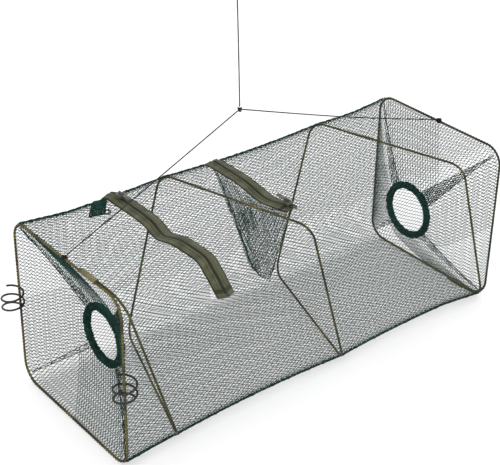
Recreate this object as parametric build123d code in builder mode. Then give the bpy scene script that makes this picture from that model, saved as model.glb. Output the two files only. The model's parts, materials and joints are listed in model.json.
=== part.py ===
from build123d import *
from math import cos, pi, radians, sin, tan
import os

# Folding crab trap: a square coil of spring wire inside a tube of netting, with a funnel at each end.
# +X runs along the trap from the hook end, -Y is the front, +Z is up, and Z = 0 is the ground.

# Overall sizes
NET_SIZE = 240.0            # outside width and height of the net tube
SPAN = 617.0                # between the centre lines of the two end frames
FOLDED_SPAN = 52.0          # the same distance with the trap folded flat

# Wire and net
WIRE = 3.0                  # spring wire diameter
NET_THICK = 0.8             # thickness that a net wall stands for
FRAME_BEND = 26.0           # centre-line radius of an end frame's corners
COIL_BEND = 22.0            # centre-line radius of the coil's corners
COIL_INSET = 4.1            # coil's centre line inside the end frames' centre line
COIL_GROWTH = 3.9           # how far each side of the coil moves out as it flattens
# Where the coil's corners stand along the trap, as shares of its length, from the left frame's front top corner
CORNER_SHARES = (0, 0.123, 0.25, 0.347, 0.455, 0.565, 0.68, 0.779, 0.892, 1)
COIL_SIDES = len(CORNER_SHARES) - 1
WIRE_GAP = 0.3              # between wires that lie side by side
BEND_GAP = 0.6              # at the bent end of a coil side
END_CLEAR = 1.1             # least gap at the free end of a coil side, anywhere in the fold
FIRST_CORNER_FOLDED = 18.0  # first free corner from the left frame, folded flat
LAST_CORNER_FOLDED = 40.0   # last free corner from the left frame, folded flat

# Crimped ferrules
FERRULE_WALL = 0.8
START_FERRULE_Y = (-65.0, -35.0)
END_FERRULE_Y = (-78.0, -54.0)
STUB_PROUD = 4.0            # wire that stands out past a ferrule

# Funnel entrances
RING_DEPTH = 48.0           # ring's plane inside its end frame
RING_DEPTH_FOLDED = 14.0
RING_DROP = 10.0            # ring's centre below the middle of the frame
RING_RADIUS = 37.8
RING_CORE = 4.0             # diameter of the bare ring
RING_WRAP = 10.6            # diameter over the netting wound round it
FUNNEL_EDGE = 4.5           # funnel's mouth inside the frame's wire
FUNNEL_SKIN = 0.8
SEAM_CORD = 1.4

# Zips: distance from the left frame, back end and front end in Y
CATCH_ZIP_X = 132.0
CATCH_ZIP_BACK = 108.0
CATCH_ZIP_BOTTOM = 184.0    # height of its lower end on the front
BAIT_ZIP_X = 287.0
BAIT_ZIP_BACK = 98.0
BAIT_ZIP_FRONT = -71.0
TAPE_WIDTH = 12.6
TAPE_THICK = 0.8
TAPE_SLIT = 0.8
COIL_TEETH_WIDTH = 5.0
COIL_TEETH_HEIGHT = 1.4
NET_SLIT = 7.0
STOP_LENGTH = 3.0

# Zip sliders and pulls
SLIDER_WIDTH = 9.6
SLIDER_LENGTH = 12.0
SLIDER_HEIGHT = 3.6
SLIDER_CLEAR = 0.35
BRIDGE_WIDTH = 1.8
BRIDGE_SPAN = 6.4
BRIDGE_ROOM = 2.0
BRIDGE_BAR = 1.2
PULL_WIDTH = 5.4
PULL_LENGTH = 20.0
PULL_THICK = 1.2
PULL_PIN = 1.4
CATCH_SLIDER_Y = 92.0
BAIT_SLIDER_Y = -60.0

# Bait pocket
POCKET_MOUTH = (26.0, 156.0)
POCKET_FOOT = (14.0, 36.0)
POCKET_DEPTH = 118.0
POCKET_SKIN = 0.8
POCKET_Y = 11.0             # middle of its mouth
POCKET_FOOT_Y = -12.0

# Net tab and its ring
TAB_X = (86.0, 116.0)
TAB_Y = (64.0, 104.0)
TAB_THICK = 1.6
TAB_RING_RADIUS = 5.0
TAB_RING_WIRE = 1.6
TAB_TIE = 3.2               # the knot of thread that the ring swings in
TAB_TIE_CLEAR = 0.2

# Coil hooks on the left frame's upright wires
HOOK_WIRE = 2.6
HOOK_RADIUS = 14.0
HOOK_OUT = 5.5              # coil's axis beyond the frame, away from the trap
HOOK_ASIDE = 9.2            # coil's axis beyond the upright wire, sideways
HOOK_PITCH = 13.0
HOOK_TURNS = 2.25
FRONT_HOOK_Z = 110.0
BACK_HOOK_Z = 102.0
HOOK_NOTCH = (16.0, 14.0)   # room in the net: past the frame, and above and below the hook

# Bridle and lifting line
CORD = 1.6
KNOT_RADIUS = 4.4
KNOT_RISE = 2.2             # a frame knot's centre above the wire
JOINT_KNOT_RADIUS = 3.6
JOINT_KNOT_X = 257.0        # from the left frame
JOINT_KNOT_Z = 356.0
LINE_TOP_Z = 508.0
LOOP_KNOT_RADIUS = 3.4
LOOP_WIDTH = 18.0
LOOP_HEIGHT = 42.0

# Places that follow from the sizes above
MID_Z = NET_SIZE / 2
FRAME_HALF = NET_SIZE / 2 - NET_THICK - WIRE / 2
COIL_HALF = FRAME_HALF - COIL_INSET
NET_BEND = FRAME_BEND + WIRE / 2 + NET_THICK
HOOK_REACH = HOOK_OUT + HOOK_RADIUS + HOOK_WIRE / 2
LEFT_X = (HOOK_REACH - SPAN - WIRE / 2) / 2
RIGHT_X = LEFT_X + SPAN
TRAVEL = SPAN - FOLDED_SPAN
WIRE_PITCH = WIRE + WIRE_GAP
NET_EDGE = WIRE_PITCH + WIRE / 2 + FERRULE_WALL + WIRE_GAP
NET_START = LEFT_X + NET_EDGE
NET_LENGTH = SPAN - 2 * NET_EDGE
RING_Z = MID_Z - RING_DROP
TAPE_TOP = NET_SIZE + TAPE_THICK
TEETH_TOP = TAPE_TOP + COIL_TEETH_HEIGHT
SLIDER_BASE = TAPE_TOP + SLIDER_CLEAR
SLIDER_TOP = SLIDER_BASE + SLIDER_HEIGHT
PULL_AXIS_Z = SLIDER_TOP + BRIDGE_ROOM / 2
FRAME_TOP_Z = MID_Z + FRAME_HALF
JOINT_KNOT = Vector(LEFT_X + JOINT_KNOT_X, 0, JOINT_KNOT_Z)
LOOP_KNOT = Vector(JOINT_KNOT.X - 6, 0, LINE_TOP_Z + LOOP_KNOT_RADIUS)


# The square coil

def corner_signs(k):
    """Y and Z side of the coil's corner k: front top, front bottom, back bottom, back top."""
    return [(-1, 1), (-1, -1), (1, -1), (1, 1)][k % 4]


def coil_corner(k):
    """Where the coil's straight sides would meet at corner k, with the trap open."""
    side, level = corner_signs(k)
    half = FRAME_HALF if k in (0, COIL_SIDES) else COIL_HALF
    x = LEFT_X + WIRE_PITCH + CORNER_SHARES[k] * (SPAN - 2 * WIRE_PITCH)
    return Vector(x, side * half, MID_Z + level * half)


def folded_corner(k):
    """Where corner k goes when the trap is folded flat."""
    side, level = corner_signs(k)
    if k == 0:
        return coil_corner(0)
    if k == COIL_SIDES:
        return coil_corner(k) - Vector(TRAVEL, 0, 0)
    step = (LAST_CORNER_FOLDED - FIRST_CORNER_FOLDED) / (COIL_SIDES - 2)
    half = COIL_HALF + COIL_GROWTH
    x = LEFT_X + FIRST_CORNER_FOLDED + (k - 1) * step
    return Vector(x, side * half, MID_Z + level * half)


def stub_end(k):
    """Where the coil's wire ends beside an end frame: k is 0 or COIL_SIDES."""
    if k == 0:
        return Vector(coil_corner(0).X, START_FERRULE_Y[1] + STUB_PROUD, FRAME_TOP_Z)
    return Vector(coil_corner(k).X, END_FERRULE_Y[1] + STUB_PROUD, MID_Z - FRAME_HALF)


def side_direction(k):
    """Unit vector along the coil's side k, from corner k to corner k + 1."""
    return (coil_corner(k + 1) - coil_corner(k)).normalized()


def way_in(k):
    return side_direction(k - 1) if k > 0 else (coil_corner(0) - stub_end(0)).normalized()


def way_out(k):
    return side_direction(k) if k < COIL_SIDES else (stub_end(k) - coil_corner(k)).normalized()


def tangent_length(k):
    """From corner k to where its bend begins, along either side."""
    radius = FRAME_BEND if k in (0, COIL_SIDES) else COIL_BEND
    return radius * tan(radians(way_in(k).get_angle(way_out(k))) / 2)


def side_start(k):
    return coil_corner(k) + side_direction(k) * tangent_length(k)


def side_finish(k):
    return coil_corner(k + 1) - side_direction(k) * tangent_length(k + 1)


def lost_room(k):
    """How much nearer the bends at the two ends of side k come to each other as the trap folds."""
    room = side_finish(k) - side_start(k)
    closing = folded_corner(k + 1) - coil_corner(k + 1) - (folded_corner(k) - coil_corner(k))
    return room.length - min((room + closing * (share / 20)).length for share in range(21))


# Shapes that several pieces share

def rod(start, end, diameter, label):
    """A straight round bar between two points."""
    with BuildPart() as bar:
        with BuildSketch(Plane(origin=start, z_dir=end - start)):
            Circle(diameter / 2)
        extrude(amount=(end - start).length)
    bar.part.label = label
    return bar


def bend(k, label):
    """The rounded corner k of the coil, with the straight stub beside an end frame if it has one."""
    start = coil_corner(k) - way_in(k) * tangent_length(k)
    end = coil_corner(k) + way_out(k) * tangent_length(k)
    with BuildPart() as corner:
        with BuildLine() as path:
            if k == 0:
                Line(stub_end(k), start)
            TangentArc(start, end, tangent=way_in(k))
            if k == COIL_SIDES:
                Line(end, stub_end(k))
        with BuildSketch(Plane(origin=path.line @ 0, z_dir=path.line % 0)):
            Circle(WIRE / 2)
        sweep()
    corner.part.label = label
    return corner


def frame_loop(x, label):
    """A closed square of wire with round corners, standing across the trap."""
    low, high = MID_Z - FRAME_HALF, MID_Z + FRAME_HALF
    square = [(x, -FRAME_HALF, low), (x, FRAME_HALF, low), (x, FRAME_HALF, high), (x, -FRAME_HALF, high)]
    with BuildPart() as loop:
        with BuildLine() as path:
            FilletPolyline(*square, radius=FRAME_BEND, close=True)
        with BuildSketch(Plane(origin=path.line @ 0, z_dir=path.line % 0)):
            Circle(WIRE / 2)
        sweep()
    loop.part.label = label
    return loop


def ferrule(x, z, stretch, label):
    """A flat sleeve crimped over the frame's wire at x and the coil's wire beside it."""
    middle = WIRE_PITCH / 2 if x < 0 else -WIRE_PITCH / 2
    height = WIRE + 2 * FERRULE_WALL
    with BuildPart() as sleeve:
        with BuildSketch(Plane.XZ.offset(-stretch[1])):
            with Locations((x + middle, z)):
                SlotCenterToCenter(WIRE_PITCH, height)
            with Locations((x, z), (x + 2 * middle, z)):
                Circle(WIRE / 2, mode=Mode.SUBTRACT)
        extrude(amount=stretch[1] - stretch[0])
    sleeve.part.label = label
    return sleeve


def cross_section(size, round_by, mode=Mode.ADD):
    """A rounded square centred on the trap's axis, in a sketch across the trap."""
    with Locations((0, MID_Z)):
        RectangleRounded(size, size, round_by, mode=mode)


def wedge(direction):
    """The quarter of the cross-section that faces direction, in degrees from +Y towards +Z."""
    far = NET_SIZE
    low, high = radians(direction - 45), radians(direction + 45)
    points = [(0, MID_Z), (far * cos(low), MID_Z + far * sin(low)), (far * cos(high), MID_Z + far * sin(high))]
    Polygon(*points, align=None, mode=Mode.INTERSECT)


def save(piece):
    export_step(piece.part, f"parts/{piece.part.label}.step")


os.makedirs("parts", exist_ok=True)

# End frames, and the coil's wire between them
save(frame_loop(LEFT_X, "left_frame"))
save(frame_loop(RIGHT_X, "right_frame"))
save(ferrule(LEFT_X, FRAME_TOP_Z, START_FERRULE_Y, "start_ferrule"))
save(ferrule(RIGHT_X, MID_Z - FRAME_HALF, END_FERRULE_Y, "end_ferrule"))

save(bend(0, "coil_start"))
save(bend(COIL_SIDES, "coil_end"))
for k in range(1, COIL_SIDES):
    save(bend(k, f"coil_corner_{k}"))

for k in range(COIL_SIDES):
    near = side_start(k) + side_direction(k) * BEND_GAP
    far = side_finish(k) - side_direction(k) * (lost_room(k) + END_CLEAR)
    save(rod(near, far, WIRE, f"coil_side_{k + 1}"))

# Net tube, in four walls that meet along the corners
front_notch_z = FRONT_HOOK_Z + HOOK_PITCH * HOOK_TURNS / 2
back_notch_z = BACK_HOOK_Z + HOOK_PITCH * HOOK_TURNS / 2
notch_height = HOOK_PITCH * HOOK_TURNS + 2 * HOOK_NOTCH[1]

for label, direction in (("net_back", 0), ("net_top", 90), ("net_front", 180), ("net_bottom", 270)):
    with BuildPart() as wall:
        with BuildSketch(Plane.YZ.offset(NET_START)):
            cross_section(NET_SIZE, NET_BEND)
            cross_section(NET_SIZE - 2 * NET_THICK, NET_BEND - NET_THICK, Mode.SUBTRACT)
            wedge(direction)
        extrude(amount=NET_LENGTH)
        if label == "net_front":
            with Locations((NET_START, -NET_SIZE / 2, front_notch_z)):
                Box(2 * HOOK_NOTCH[0], 4 * NET_THICK, notch_height, mode=Mode.SUBTRACT)
            with Locations((LEFT_X + CATCH_ZIP_X, -NET_SIZE / 2, (CATCH_ZIP_BOTTOM + NET_SIZE) / 2)):
                Box(NET_SLIT, 60, NET_SIZE - CATCH_ZIP_BOTTOM - 2 * STOP_LENGTH, mode=Mode.SUBTRACT)
        if label == "net_back":
            with Locations((NET_START, NET_SIZE / 2, back_notch_z)):
                Box(2 * HOOK_NOTCH[0], 4 * NET_THICK, notch_height, mode=Mode.SUBTRACT)
        if label == "net_top":
            catch_back = CATCH_ZIP_BACK - 2 * STOP_LENGTH - 20
            with Locations((LEFT_X + CATCH_ZIP_X, (catch_back - NET_SIZE / 2) / 2, NET_SIZE)):
                Box(NET_SLIT, catch_back + NET_SIZE / 2, 40, mode=Mode.SUBTRACT)
            bait_back = BAIT_ZIP_BACK - 4 * STOP_LENGTH
            bait_front = BAIT_ZIP_FRONT + 4 * STOP_LENGTH
            with Locations((LEFT_X + BAIT_ZIP_X, (bait_back + bait_front) / 2, NET_SIZE)):
                Box(NET_SLIT, bait_back - bait_front, 4 * NET_THICK, mode=Mode.SUBTRACT)
    wall.part.label = label
    save(wall)

# Seam cords along the net tube's top back and bottom front corners
seam_reach = NET_SIZE / 2 - NET_BEND + (NET_BEND + SEAM_CORD / 2 + WIRE_GAP / 3) * sin(pi / 4)
with BuildPart() as net_seams:
    with BuildSketch(Plane.YZ.offset(NET_START)):
        with Locations((seam_reach, MID_Z + seam_reach), (-seam_reach, MID_Z - seam_reach)):
            Circle(SEAM_CORD / 2)
    extrude(amount=NET_LENGTH)
net_seams.part.label = "net_seams"
save(net_seams)


# Funnel entrances: a ring wound with netting, the funnel of net that holds it, and the funnel's seams

MOUTH_DEPTH = NET_EDGE
THROAT_DEPTH = RING_DEPTH - RING_WRAP / 2 - WIRE_GAP
MOUTH = 2 * (FRAME_HALF - WIRE / 2 - FUNNEL_EDGE)
THROAT = 2 * (RING_RADIUS + 1)


def funnel(frame_x, inward, label):
    """A skin of net that narrows from a square mouth at the end frame to the ring."""
    throat_round = THROAT / 2 - 2 * FUNNEL_SKIN
    with BuildPart() as net:
        for skin, mode in ((0, Mode.ADD), (FUNNEL_SKIN, Mode.SUBTRACT)):
            with BuildSketch(Plane.YZ.offset(frame_x + inward * MOUTH_DEPTH)):
                with Locations((0, MID_Z)):
                    RectangleRounded(MOUTH - 2 * skin, MOUTH - 2 * skin, FRAME_BEND - skin)
            with BuildSketch(Plane.YZ.offset(frame_x + inward * THROAT_DEPTH)):
                with Locations((0, RING_Z)):
                    RectangleRounded(THROAT - 2 * skin, THROAT - 2 * skin, throat_round - skin)
            loft(ruled=True, mode=mode)
    net.part.label = label
    return net


def funnel_seams(frame_x, inward, label):
    """The four cords along a funnel's corners."""
    far_reach = MOUTH / 2 - FRAME_BEND * (1 - sin(pi / 4)) + SEAM_CORD + WIRE_GAP
    near_reach = THROAT / 2 * sin(pi / 4) + 2 * SEAM_CORD
    with BuildPart() as cords:
        for side, level in ((-1, -1), (1, -1), (1, 1), (-1, 1)):
            far = Vector(frame_x + inward * MOUTH_DEPTH, side * far_reach, MID_Z + level * far_reach)
            near = Vector(frame_x + inward * THROAT_DEPTH, side * near_reach, RING_Z + level * near_reach)
            with BuildSketch(Plane(origin=far, z_dir=near - far)):
                Circle(SEAM_CORD / 2)
            extrude(amount=(near - far).length)
    cords.part.label = label
    return cords


for end, frame_x, inward in (("left", LEFT_X, 1), ("right", RIGHT_X, -1)):
    ring_plane = Plane(origin=(frame_x + inward * RING_DEPTH, 0, RING_Z), x_dir=(0, 1, 0), z_dir=(1, 0, 0))
    with BuildPart() as ring:
        with Locations(ring_plane):
            Torus(RING_RADIUS, RING_CORE / 2)
    ring.part.label = f"{end}_ring"
    save(ring)
    with BuildPart() as wrap:
        with Locations(ring_plane):
            Torus(RING_RADIUS, RING_WRAP / 2)
            Torus(RING_RADIUS, RING_CORE / 2, mode=Mode.SUBTRACT)
    wrap.part.label = f"{end}_ring_wrap"
    save(wrap)
    save(funnel(frame_x, inward, f"{end}_funnel"))
    save(funnel_seams(frame_x, inward, f"{end}_funnel_seams"))


# Zips: two tapes, a run of teeth, an end stop, a slider and its pull

def strip_outline(back_y, front_y, bottom_z, inner, thick):
    """Side view of a strip that lies on the net, inner above it, from back_y to its front or lower end."""
    size = NET_SIZE + 2 * inner
    cross_section(size + 2 * thick, NET_BEND + inner + thick)
    cross_section(size, NET_BEND + inner, Mode.SUBTRACT)
    if bottom_z is None:
        with Locations(((back_y + front_y) / 2, NET_SIZE)):
            Rectangle(back_y - front_y, NET_SIZE / 2, mode=Mode.INTERSECT)
    else:
        with Locations((back_y - NET_SIZE, bottom_z + NET_SIZE / 2)):
            Rectangle(2 * NET_SIZE, NET_SIZE, mode=Mode.INTERSECT)


zips = (
    ("catch_zip", LEFT_X + CATCH_ZIP_X, CATCH_ZIP_BACK, None, CATCH_ZIP_BOTTOM, CATCH_SLIDER_Y, -1),
    ("bait_zip", LEFT_X + BAIT_ZIP_X, BAIT_ZIP_BACK, BAIT_ZIP_FRONT, None, BAIT_SLIDER_Y, 1),
)
for name, zip_x, back_y, front_y, bottom_z, slider_y, pull_way in zips:
    with BuildPart() as tapes:
        for edge in (-TAPE_WIDTH, TAPE_SLIT / 2):
            with BuildSketch(Plane.YZ.offset(zip_x + edge)):
                strip_outline(back_y, front_y, bottom_z, 0, TAPE_THICK)
            extrude(amount=TAPE_WIDTH - TAPE_SLIT / 2)
    tapes.part.label = f"{name}_tapes"
    save(tapes)

    teeth_back = min(back_y, NET_SIZE / 2 - NET_BEND) - 2 * STOP_LENGTH
    teeth_front = None if front_y is None else front_y + STOP_LENGTH
    teeth_bottom = None if bottom_z is None else bottom_z + STOP_LENGTH
    with BuildPart() as teeth_row:
        with BuildSketch(Plane.YZ.offset(zip_x - COIL_TEETH_WIDTH / 2)):
            strip_outline(teeth_back, teeth_front, teeth_bottom, TAPE_THICK, COIL_TEETH_HEIGHT)
        extrude(amount=COIL_TEETH_WIDTH)
    teeth_row.part.label = f"{name}_teeth"
    save(teeth_row)

    with BuildPart() as stop:
        stop_y = teeth_back + WIRE_GAP + STOP_LENGTH / 2
        with Locations((zip_x, stop_y, TAPE_TOP + WIRE_GAP + COIL_TEETH_HEIGHT / 2)):
            Box(COIL_TEETH_WIDTH + 1, STOP_LENGTH, COIL_TEETH_HEIGHT)
        fillet(stop.edges().filter_by(Axis.Y).group_by(Axis.Z)[-1], 0.5)
    stop.part.label = f"{name}_stop"
    save(stop)

    slider_y = min(slider_y, teeth_back - SLIDER_LENGTH / 2 - WIRE_GAP)
    with BuildPart() as slider:
        with BuildSketch(Plane.XY.offset(SLIDER_BASE)):
            with Locations((zip_x, slider_y)):
                RectangleRounded(SLIDER_WIDTH, SLIDER_LENGTH, 2.4)
        extrude(amount=SLIDER_HEIGHT)
        fillet(slider.faces().sort_by(Axis.Z)[-1].edges(), 0.7)
        channel = COIL_TEETH_HEIGHT + SLIDER_CLEAR
        with Locations((zip_x, slider_y, SLIDER_BASE - SLIDER_CLEAR + channel / 2)):
            Box(COIL_TEETH_WIDTH + 2 * SLIDER_CLEAR, 2 * SLIDER_LENGTH, channel, mode=Mode.SUBTRACT)
        with BuildSketch(Plane.YZ.offset(zip_x - BRIDGE_WIDTH / 2)):
            with Locations((slider_y, SLIDER_TOP + (BRIDGE_ROOM + BRIDGE_BAR) / 2 - 0.2)):
                Rectangle(BRIDGE_SPAN + 2 * BRIDGE_BAR, BRIDGE_ROOM + BRIDGE_BAR + 0.4)
            with Locations((slider_y, SLIDER_TOP + BRIDGE_ROOM / 2 - 0.2)):
                Rectangle(BRIDGE_SPAN, BRIDGE_ROOM + 0.4, mode=Mode.SUBTRACT)
        extrude(amount=BRIDGE_WIDTH)
    slider.part.label = f"{name}_slider"
    save(slider)

    window = BRIDGE_WIDTH + 2 * SLIDER_CLEAR
    window_length = BRIDGE_SPAN / 2 + BRIDGE_BAR + 1
    with BuildPart() as pull:
        with BuildSketch(Plane.XY.offset(PULL_AXIS_Z - PULL_THICK / 2)):
            with Locations((zip_x, slider_y + pull_way * PULL_LENGTH / 2)):
                RectangleRounded(PULL_WIDTH, PULL_LENGTH, 1.2)
            with Locations((zip_x, slider_y + pull_way * (PULL_PIN / 2 + window_length / 2))):
                Rectangle(window, window_length, mode=Mode.SUBTRACT)
            with Locations((zip_x, slider_y + pull_way * (PULL_LENGTH - 4.5))):
                SlotCenterToCenter(2, 1.6, rotation=90, mode=Mode.SUBTRACT)
        extrude(amount=PULL_THICK)
        with BuildSketch(Plane.YZ.offset(zip_x - PULL_WIDTH / 2)):
            with Locations((slider_y, PULL_AXIS_Z)):
                Circle(PULL_PIN / 2)
        extrude(amount=PULL_WIDTH)
    pull.part.label = f"{name}_pull"
    save(pull)

# Bait pocket: a bag of net that hangs under the bait zip, open at the top
with BuildPart() as bait_pocket:
    pocket_top = NET_SIZE - NET_THICK
    pocket_x = LEFT_X + BAIT_ZIP_X
    for skin, mode in ((0, Mode.ADD), (2 * POCKET_SKIN, Mode.SUBTRACT)):
        with BuildSketch(Plane.XY.offset(pocket_top)):
            with Locations((pocket_x, POCKET_Y)):
                RectangleRounded(POCKET_MOUTH[0] - skin, POCKET_MOUTH[1] - skin, 8 - skin / 2)
        with BuildSketch(Plane.XY.offset(pocket_top - POCKET_DEPTH + skin / 2)):
            with Locations((pocket_x, POCKET_FOOT_Y)):
                RectangleRounded(POCKET_FOOT[0] - skin, POCKET_FOOT[1] - skin, 6 - skin / 2)
        loft(mode=mode)
bait_pocket.part.label = "bait_pocket"
save(bait_pocket)

# Folded tab of netting beside the catch zip, and the small ring tied to its edge
with BuildPart() as net_tab:
    with BuildSketch(Plane.XY.offset(NET_SIZE)):
        with Locations((LEFT_X + sum(TAB_X) / 2, sum(TAB_Y) / 2)):
            RectangleRounded(TAB_X[1] - TAB_X[0], TAB_Y[1] - TAB_Y[0], 3)
    extrude(amount=TAB_THICK)
net_tab.part.label = "net_tab"
save(net_tab)

tab_ring_x = LEFT_X + TAB_X[0] + 10
tab_tie_y = TAB_Y[0] - TAB_TIE / 2 - WIRE_GAP
tab_tie_z = NET_SIZE + TAB_TIE / 2 + WIRE_GAP / 2
with BuildPart() as tab_ring:
    with Locations((tab_ring_x, tab_tie_y - TAB_RING_RADIUS, tab_tie_z)):
        Torus(TAB_RING_RADIUS, TAB_RING_WIRE / 2)
tab_ring.part.label = "tab_ring"
save(tab_ring)

with BuildPart() as tab_ring_tie:
    with BuildSketch(Plane.YZ.offset(tab_ring_x - TAB_TIE / 4)):
        with Locations((tab_tie_y, tab_tie_z)):
            Circle(TAB_TIE / 2)
            Circle(TAB_RING_WIRE / 2 + TAB_TIE_CLEAR, mode=Mode.SUBTRACT)
    extrude(amount=TAB_TIE / 2)
tab_ring_tie.part.label = "tab_ring_tie"
save(tab_ring_tie)

# Coil hooks: two loose turns of wire round each upright wire of the left frame
for label, side, foot in (("front_hook", -1, FRONT_HOOK_Z), ("back_hook", 1, BACK_HOOK_Z)):
    axis = (LEFT_X - HOOK_OUT, side * (FRAME_HALF + HOOK_ASIDE), foot)
    with BuildPart() as hook:
        with BuildLine() as path:
            Helix(HOOK_PITCH, HOOK_PITCH * HOOK_TURNS, HOOK_RADIUS, center=axis)
        with BuildSketch(Plane(origin=path.line @ 0, z_dir=path.line % 0)):
            Circle(HOOK_WIRE / 2)
        sweep(is_frenet=True)
    hook.part.label = label
    save(hook)


# Bridle: a leg of cord from the middle of each end frame's top to one knot, and the line from it

def knot(centre, radius, hole, label):
    """A round knot, with the wire that it is tied to running through its lower part along Y."""
    with BuildPart() as lump:
        with Locations(centre):
            Sphere(radius)
        if hole:
            with Locations(centre - Vector(0, 0, KNOT_RISE)):
                Cylinder(hole / 2, 4 * radius, rotation=(90, 0, 0), mode=Mode.SUBTRACT)
    lump.part.label = label
    return lump


def cord(points, label):
    """A cord along straight runs, with an arc at each point as large as its two runs allow."""
    radii = []
    for before, here, after in zip(points, points[1:], points[2:]):
        run = min((here - before).length, (after - here).length)
        turn = radians((here - before).get_angle(after - here))
        radii.append(0.45 * run / tan(turn / 2))
    with BuildPart() as tube:
        with BuildLine() as path:
            FilletPolyline(*points, radius=radii)
        with BuildSketch(Plane(origin=path.line @ 0, z_dir=path.line % 0)):
            Circle(CORD / 2)
        sweep()
    length = path.wires()[0].length
    ratio = tube.part.volume / (pi * (CORD / 2) ** 2 * length)
    print(label, "radii", [round(r) for r in radii], "length", round(length, 1), "volume ratio", round(ratio, 4))
    tube.part.label = label
    return tube


left_tie = Vector(LEFT_X, 0, FRAME_TOP_Z + KNOT_RISE)
right_tie = Vector(RIGHT_X, 0, FRAME_TOP_Z + KNOT_RISE)
save(knot(left_tie, KNOT_RADIUS, WIRE, "left_frame_knot"))
save(knot(right_tie, KNOT_RADIUS, WIRE + 2 * WIRE_GAP, "right_frame_knot"))
save(knot(JOINT_KNOT, JOINT_KNOT_RADIUS, 0, "bridle_knot"))
save(knot(LOOP_KNOT, LOOP_KNOT_RADIUS, 0, "line_loop_knot"))

left_way = (JOINT_KNOT - left_tie).normalized()
right_way = (JOINT_KNOT - right_tie).normalized()
line_way = (LOOP_KNOT - JOINT_KNOT).normalized()
left_leg = [
    left_tie + left_way * KNOT_RADIUS,
    left_tie + left_way * (JOINT_KNOT - left_tie).length * 0.5 - Vector(0, 0, 1.2),
    JOINT_KNOT - left_way * JOINT_KNOT_RADIUS,
]
right_leg = [
    JOINT_KNOT - right_way * JOINT_KNOT_RADIUS,
    JOINT_KNOT - right_way * (JOINT_KNOT - right_tie).length * 0.36 - Vector(0, 0, 3.2),
    JOINT_KNOT - right_way * (JOINT_KNOT - right_tie).length * 0.7 - Vector(0, 0, 3.0),
    right_tie + right_way * KNOT_RADIUS,
]
lift_line = [
    JOINT_KNOT + line_way * JOINT_KNOT_RADIUS,
    JOINT_KNOT + line_way * (LOOP_KNOT - JOINT_KNOT).length * 0.45 + Vector(0.6, 0, 0),
    LOOP_KNOT - line_way * LOOP_KNOT_RADIUS,
]
save(cord(left_leg, "left_bridle_leg"))
save(cord(right_leg, "right_bridle_leg"))
save(cord(lift_line, "lift_line"))

loop_middle = LOOP_KNOT + Vector(0, 0, LOOP_KNOT_RADIUS + CORD / 2 + LOOP_HEIGHT / 2)
loop_left, loop_right = LOOP_KNOT.X - LOOP_WIDTH / 2, LOOP_KNOT.X + LOOP_WIDTH / 2
loop_foot, loop_top = loop_middle.Z - LOOP_HEIGHT / 2, loop_middle.Z + LOOP_HEIGHT / 2
loop_corners = [(loop_left, 0, loop_foot), (loop_right, 0, loop_foot), (loop_right, 0, loop_top), (loop_left, 0, loop_top)]
with BuildPart() as line_loop:
    with BuildLine() as path:
        FilletPolyline(*loop_corners, radius=LOOP_WIDTH * 0.45, close=True)
    with BuildSketch(Plane(origin=path.line @ 0, z_dir=path.line % 0)):
        Circle(CORD / 2)
    sweep()
line_loop.part.label = "line_loop"
save(line_loop)
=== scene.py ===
"""Folding crab trap: the netting, spring wire, zips and cords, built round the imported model."""
import json
from functools import partial
from math import cos, pi, sin

import bpy
import numpy as np
from bpy.props import FloatProperty, FloatVectorProperty, IntProperty, PointerProperty
from mathutils import Matrix, Vector


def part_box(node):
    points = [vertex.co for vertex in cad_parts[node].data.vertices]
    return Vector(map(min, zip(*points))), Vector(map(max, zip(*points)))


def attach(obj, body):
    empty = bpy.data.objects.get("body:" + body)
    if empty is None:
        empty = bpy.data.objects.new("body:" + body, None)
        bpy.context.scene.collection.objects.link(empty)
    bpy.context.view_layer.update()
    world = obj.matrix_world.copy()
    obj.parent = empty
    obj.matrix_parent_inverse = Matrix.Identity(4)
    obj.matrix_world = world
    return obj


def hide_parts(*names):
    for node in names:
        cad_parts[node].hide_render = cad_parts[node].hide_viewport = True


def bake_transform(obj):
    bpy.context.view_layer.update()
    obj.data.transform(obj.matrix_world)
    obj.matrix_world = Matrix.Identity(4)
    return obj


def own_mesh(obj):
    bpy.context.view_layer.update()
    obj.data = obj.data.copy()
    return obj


bl_info = {
    "name": "Folding Crab Trap",
    "version": (1, 0, 0),
    "blender": (4, 5, 0),
    "location": "3D View > Sidebar > Crab Trap",
    "description": "Builds a folding crab trap of netting on a square coil of spring wire",
    "category": "Object",
}

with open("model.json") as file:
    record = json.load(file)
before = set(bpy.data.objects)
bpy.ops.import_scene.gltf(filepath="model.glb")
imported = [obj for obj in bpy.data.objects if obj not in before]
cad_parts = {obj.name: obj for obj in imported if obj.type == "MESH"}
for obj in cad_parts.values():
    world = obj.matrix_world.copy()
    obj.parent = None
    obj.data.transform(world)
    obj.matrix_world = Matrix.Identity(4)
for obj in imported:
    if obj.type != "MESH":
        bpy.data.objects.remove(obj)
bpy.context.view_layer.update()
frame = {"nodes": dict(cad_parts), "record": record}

# Places read from the frame
COIL_SIDES = 9
HINGES = {joint["name"]: joint for joint in frame["record"]["behaviour"]["joints"]}


def box(node):
    return tuple(np.array(corner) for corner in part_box(node))


def middle(node):
    low, high = box(node)
    return (low + high) / 2


left_low, left_high = box("left_frame")
WIRE = left_high[0] - left_low[0]
LEFT_X = middle("left_frame")[0]
RIGHT_X = middle("right_frame")[0]
SPAN = RIGHT_X - LEFT_X
MID_Z = middle("left_frame")[2]
FRAME_HALF = (left_high[1] - left_low[1] - WIRE) / 2
COIL_HALF = MID_Z - middle("coil_side_2")[2]
START_X = box("coil_start")[0][0] + WIRE / 2
END_X = box("coil_end")[1][0] - WIRE / 2
RING_RADIUS = (box("left_ring")[1][2] - box("left_ring")[0][2]) / 2 - 0.002
RING_Z = middle("left_ring")[2]
RING_DEPTH = middle("left_ring")[0] - LEFT_X

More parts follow.
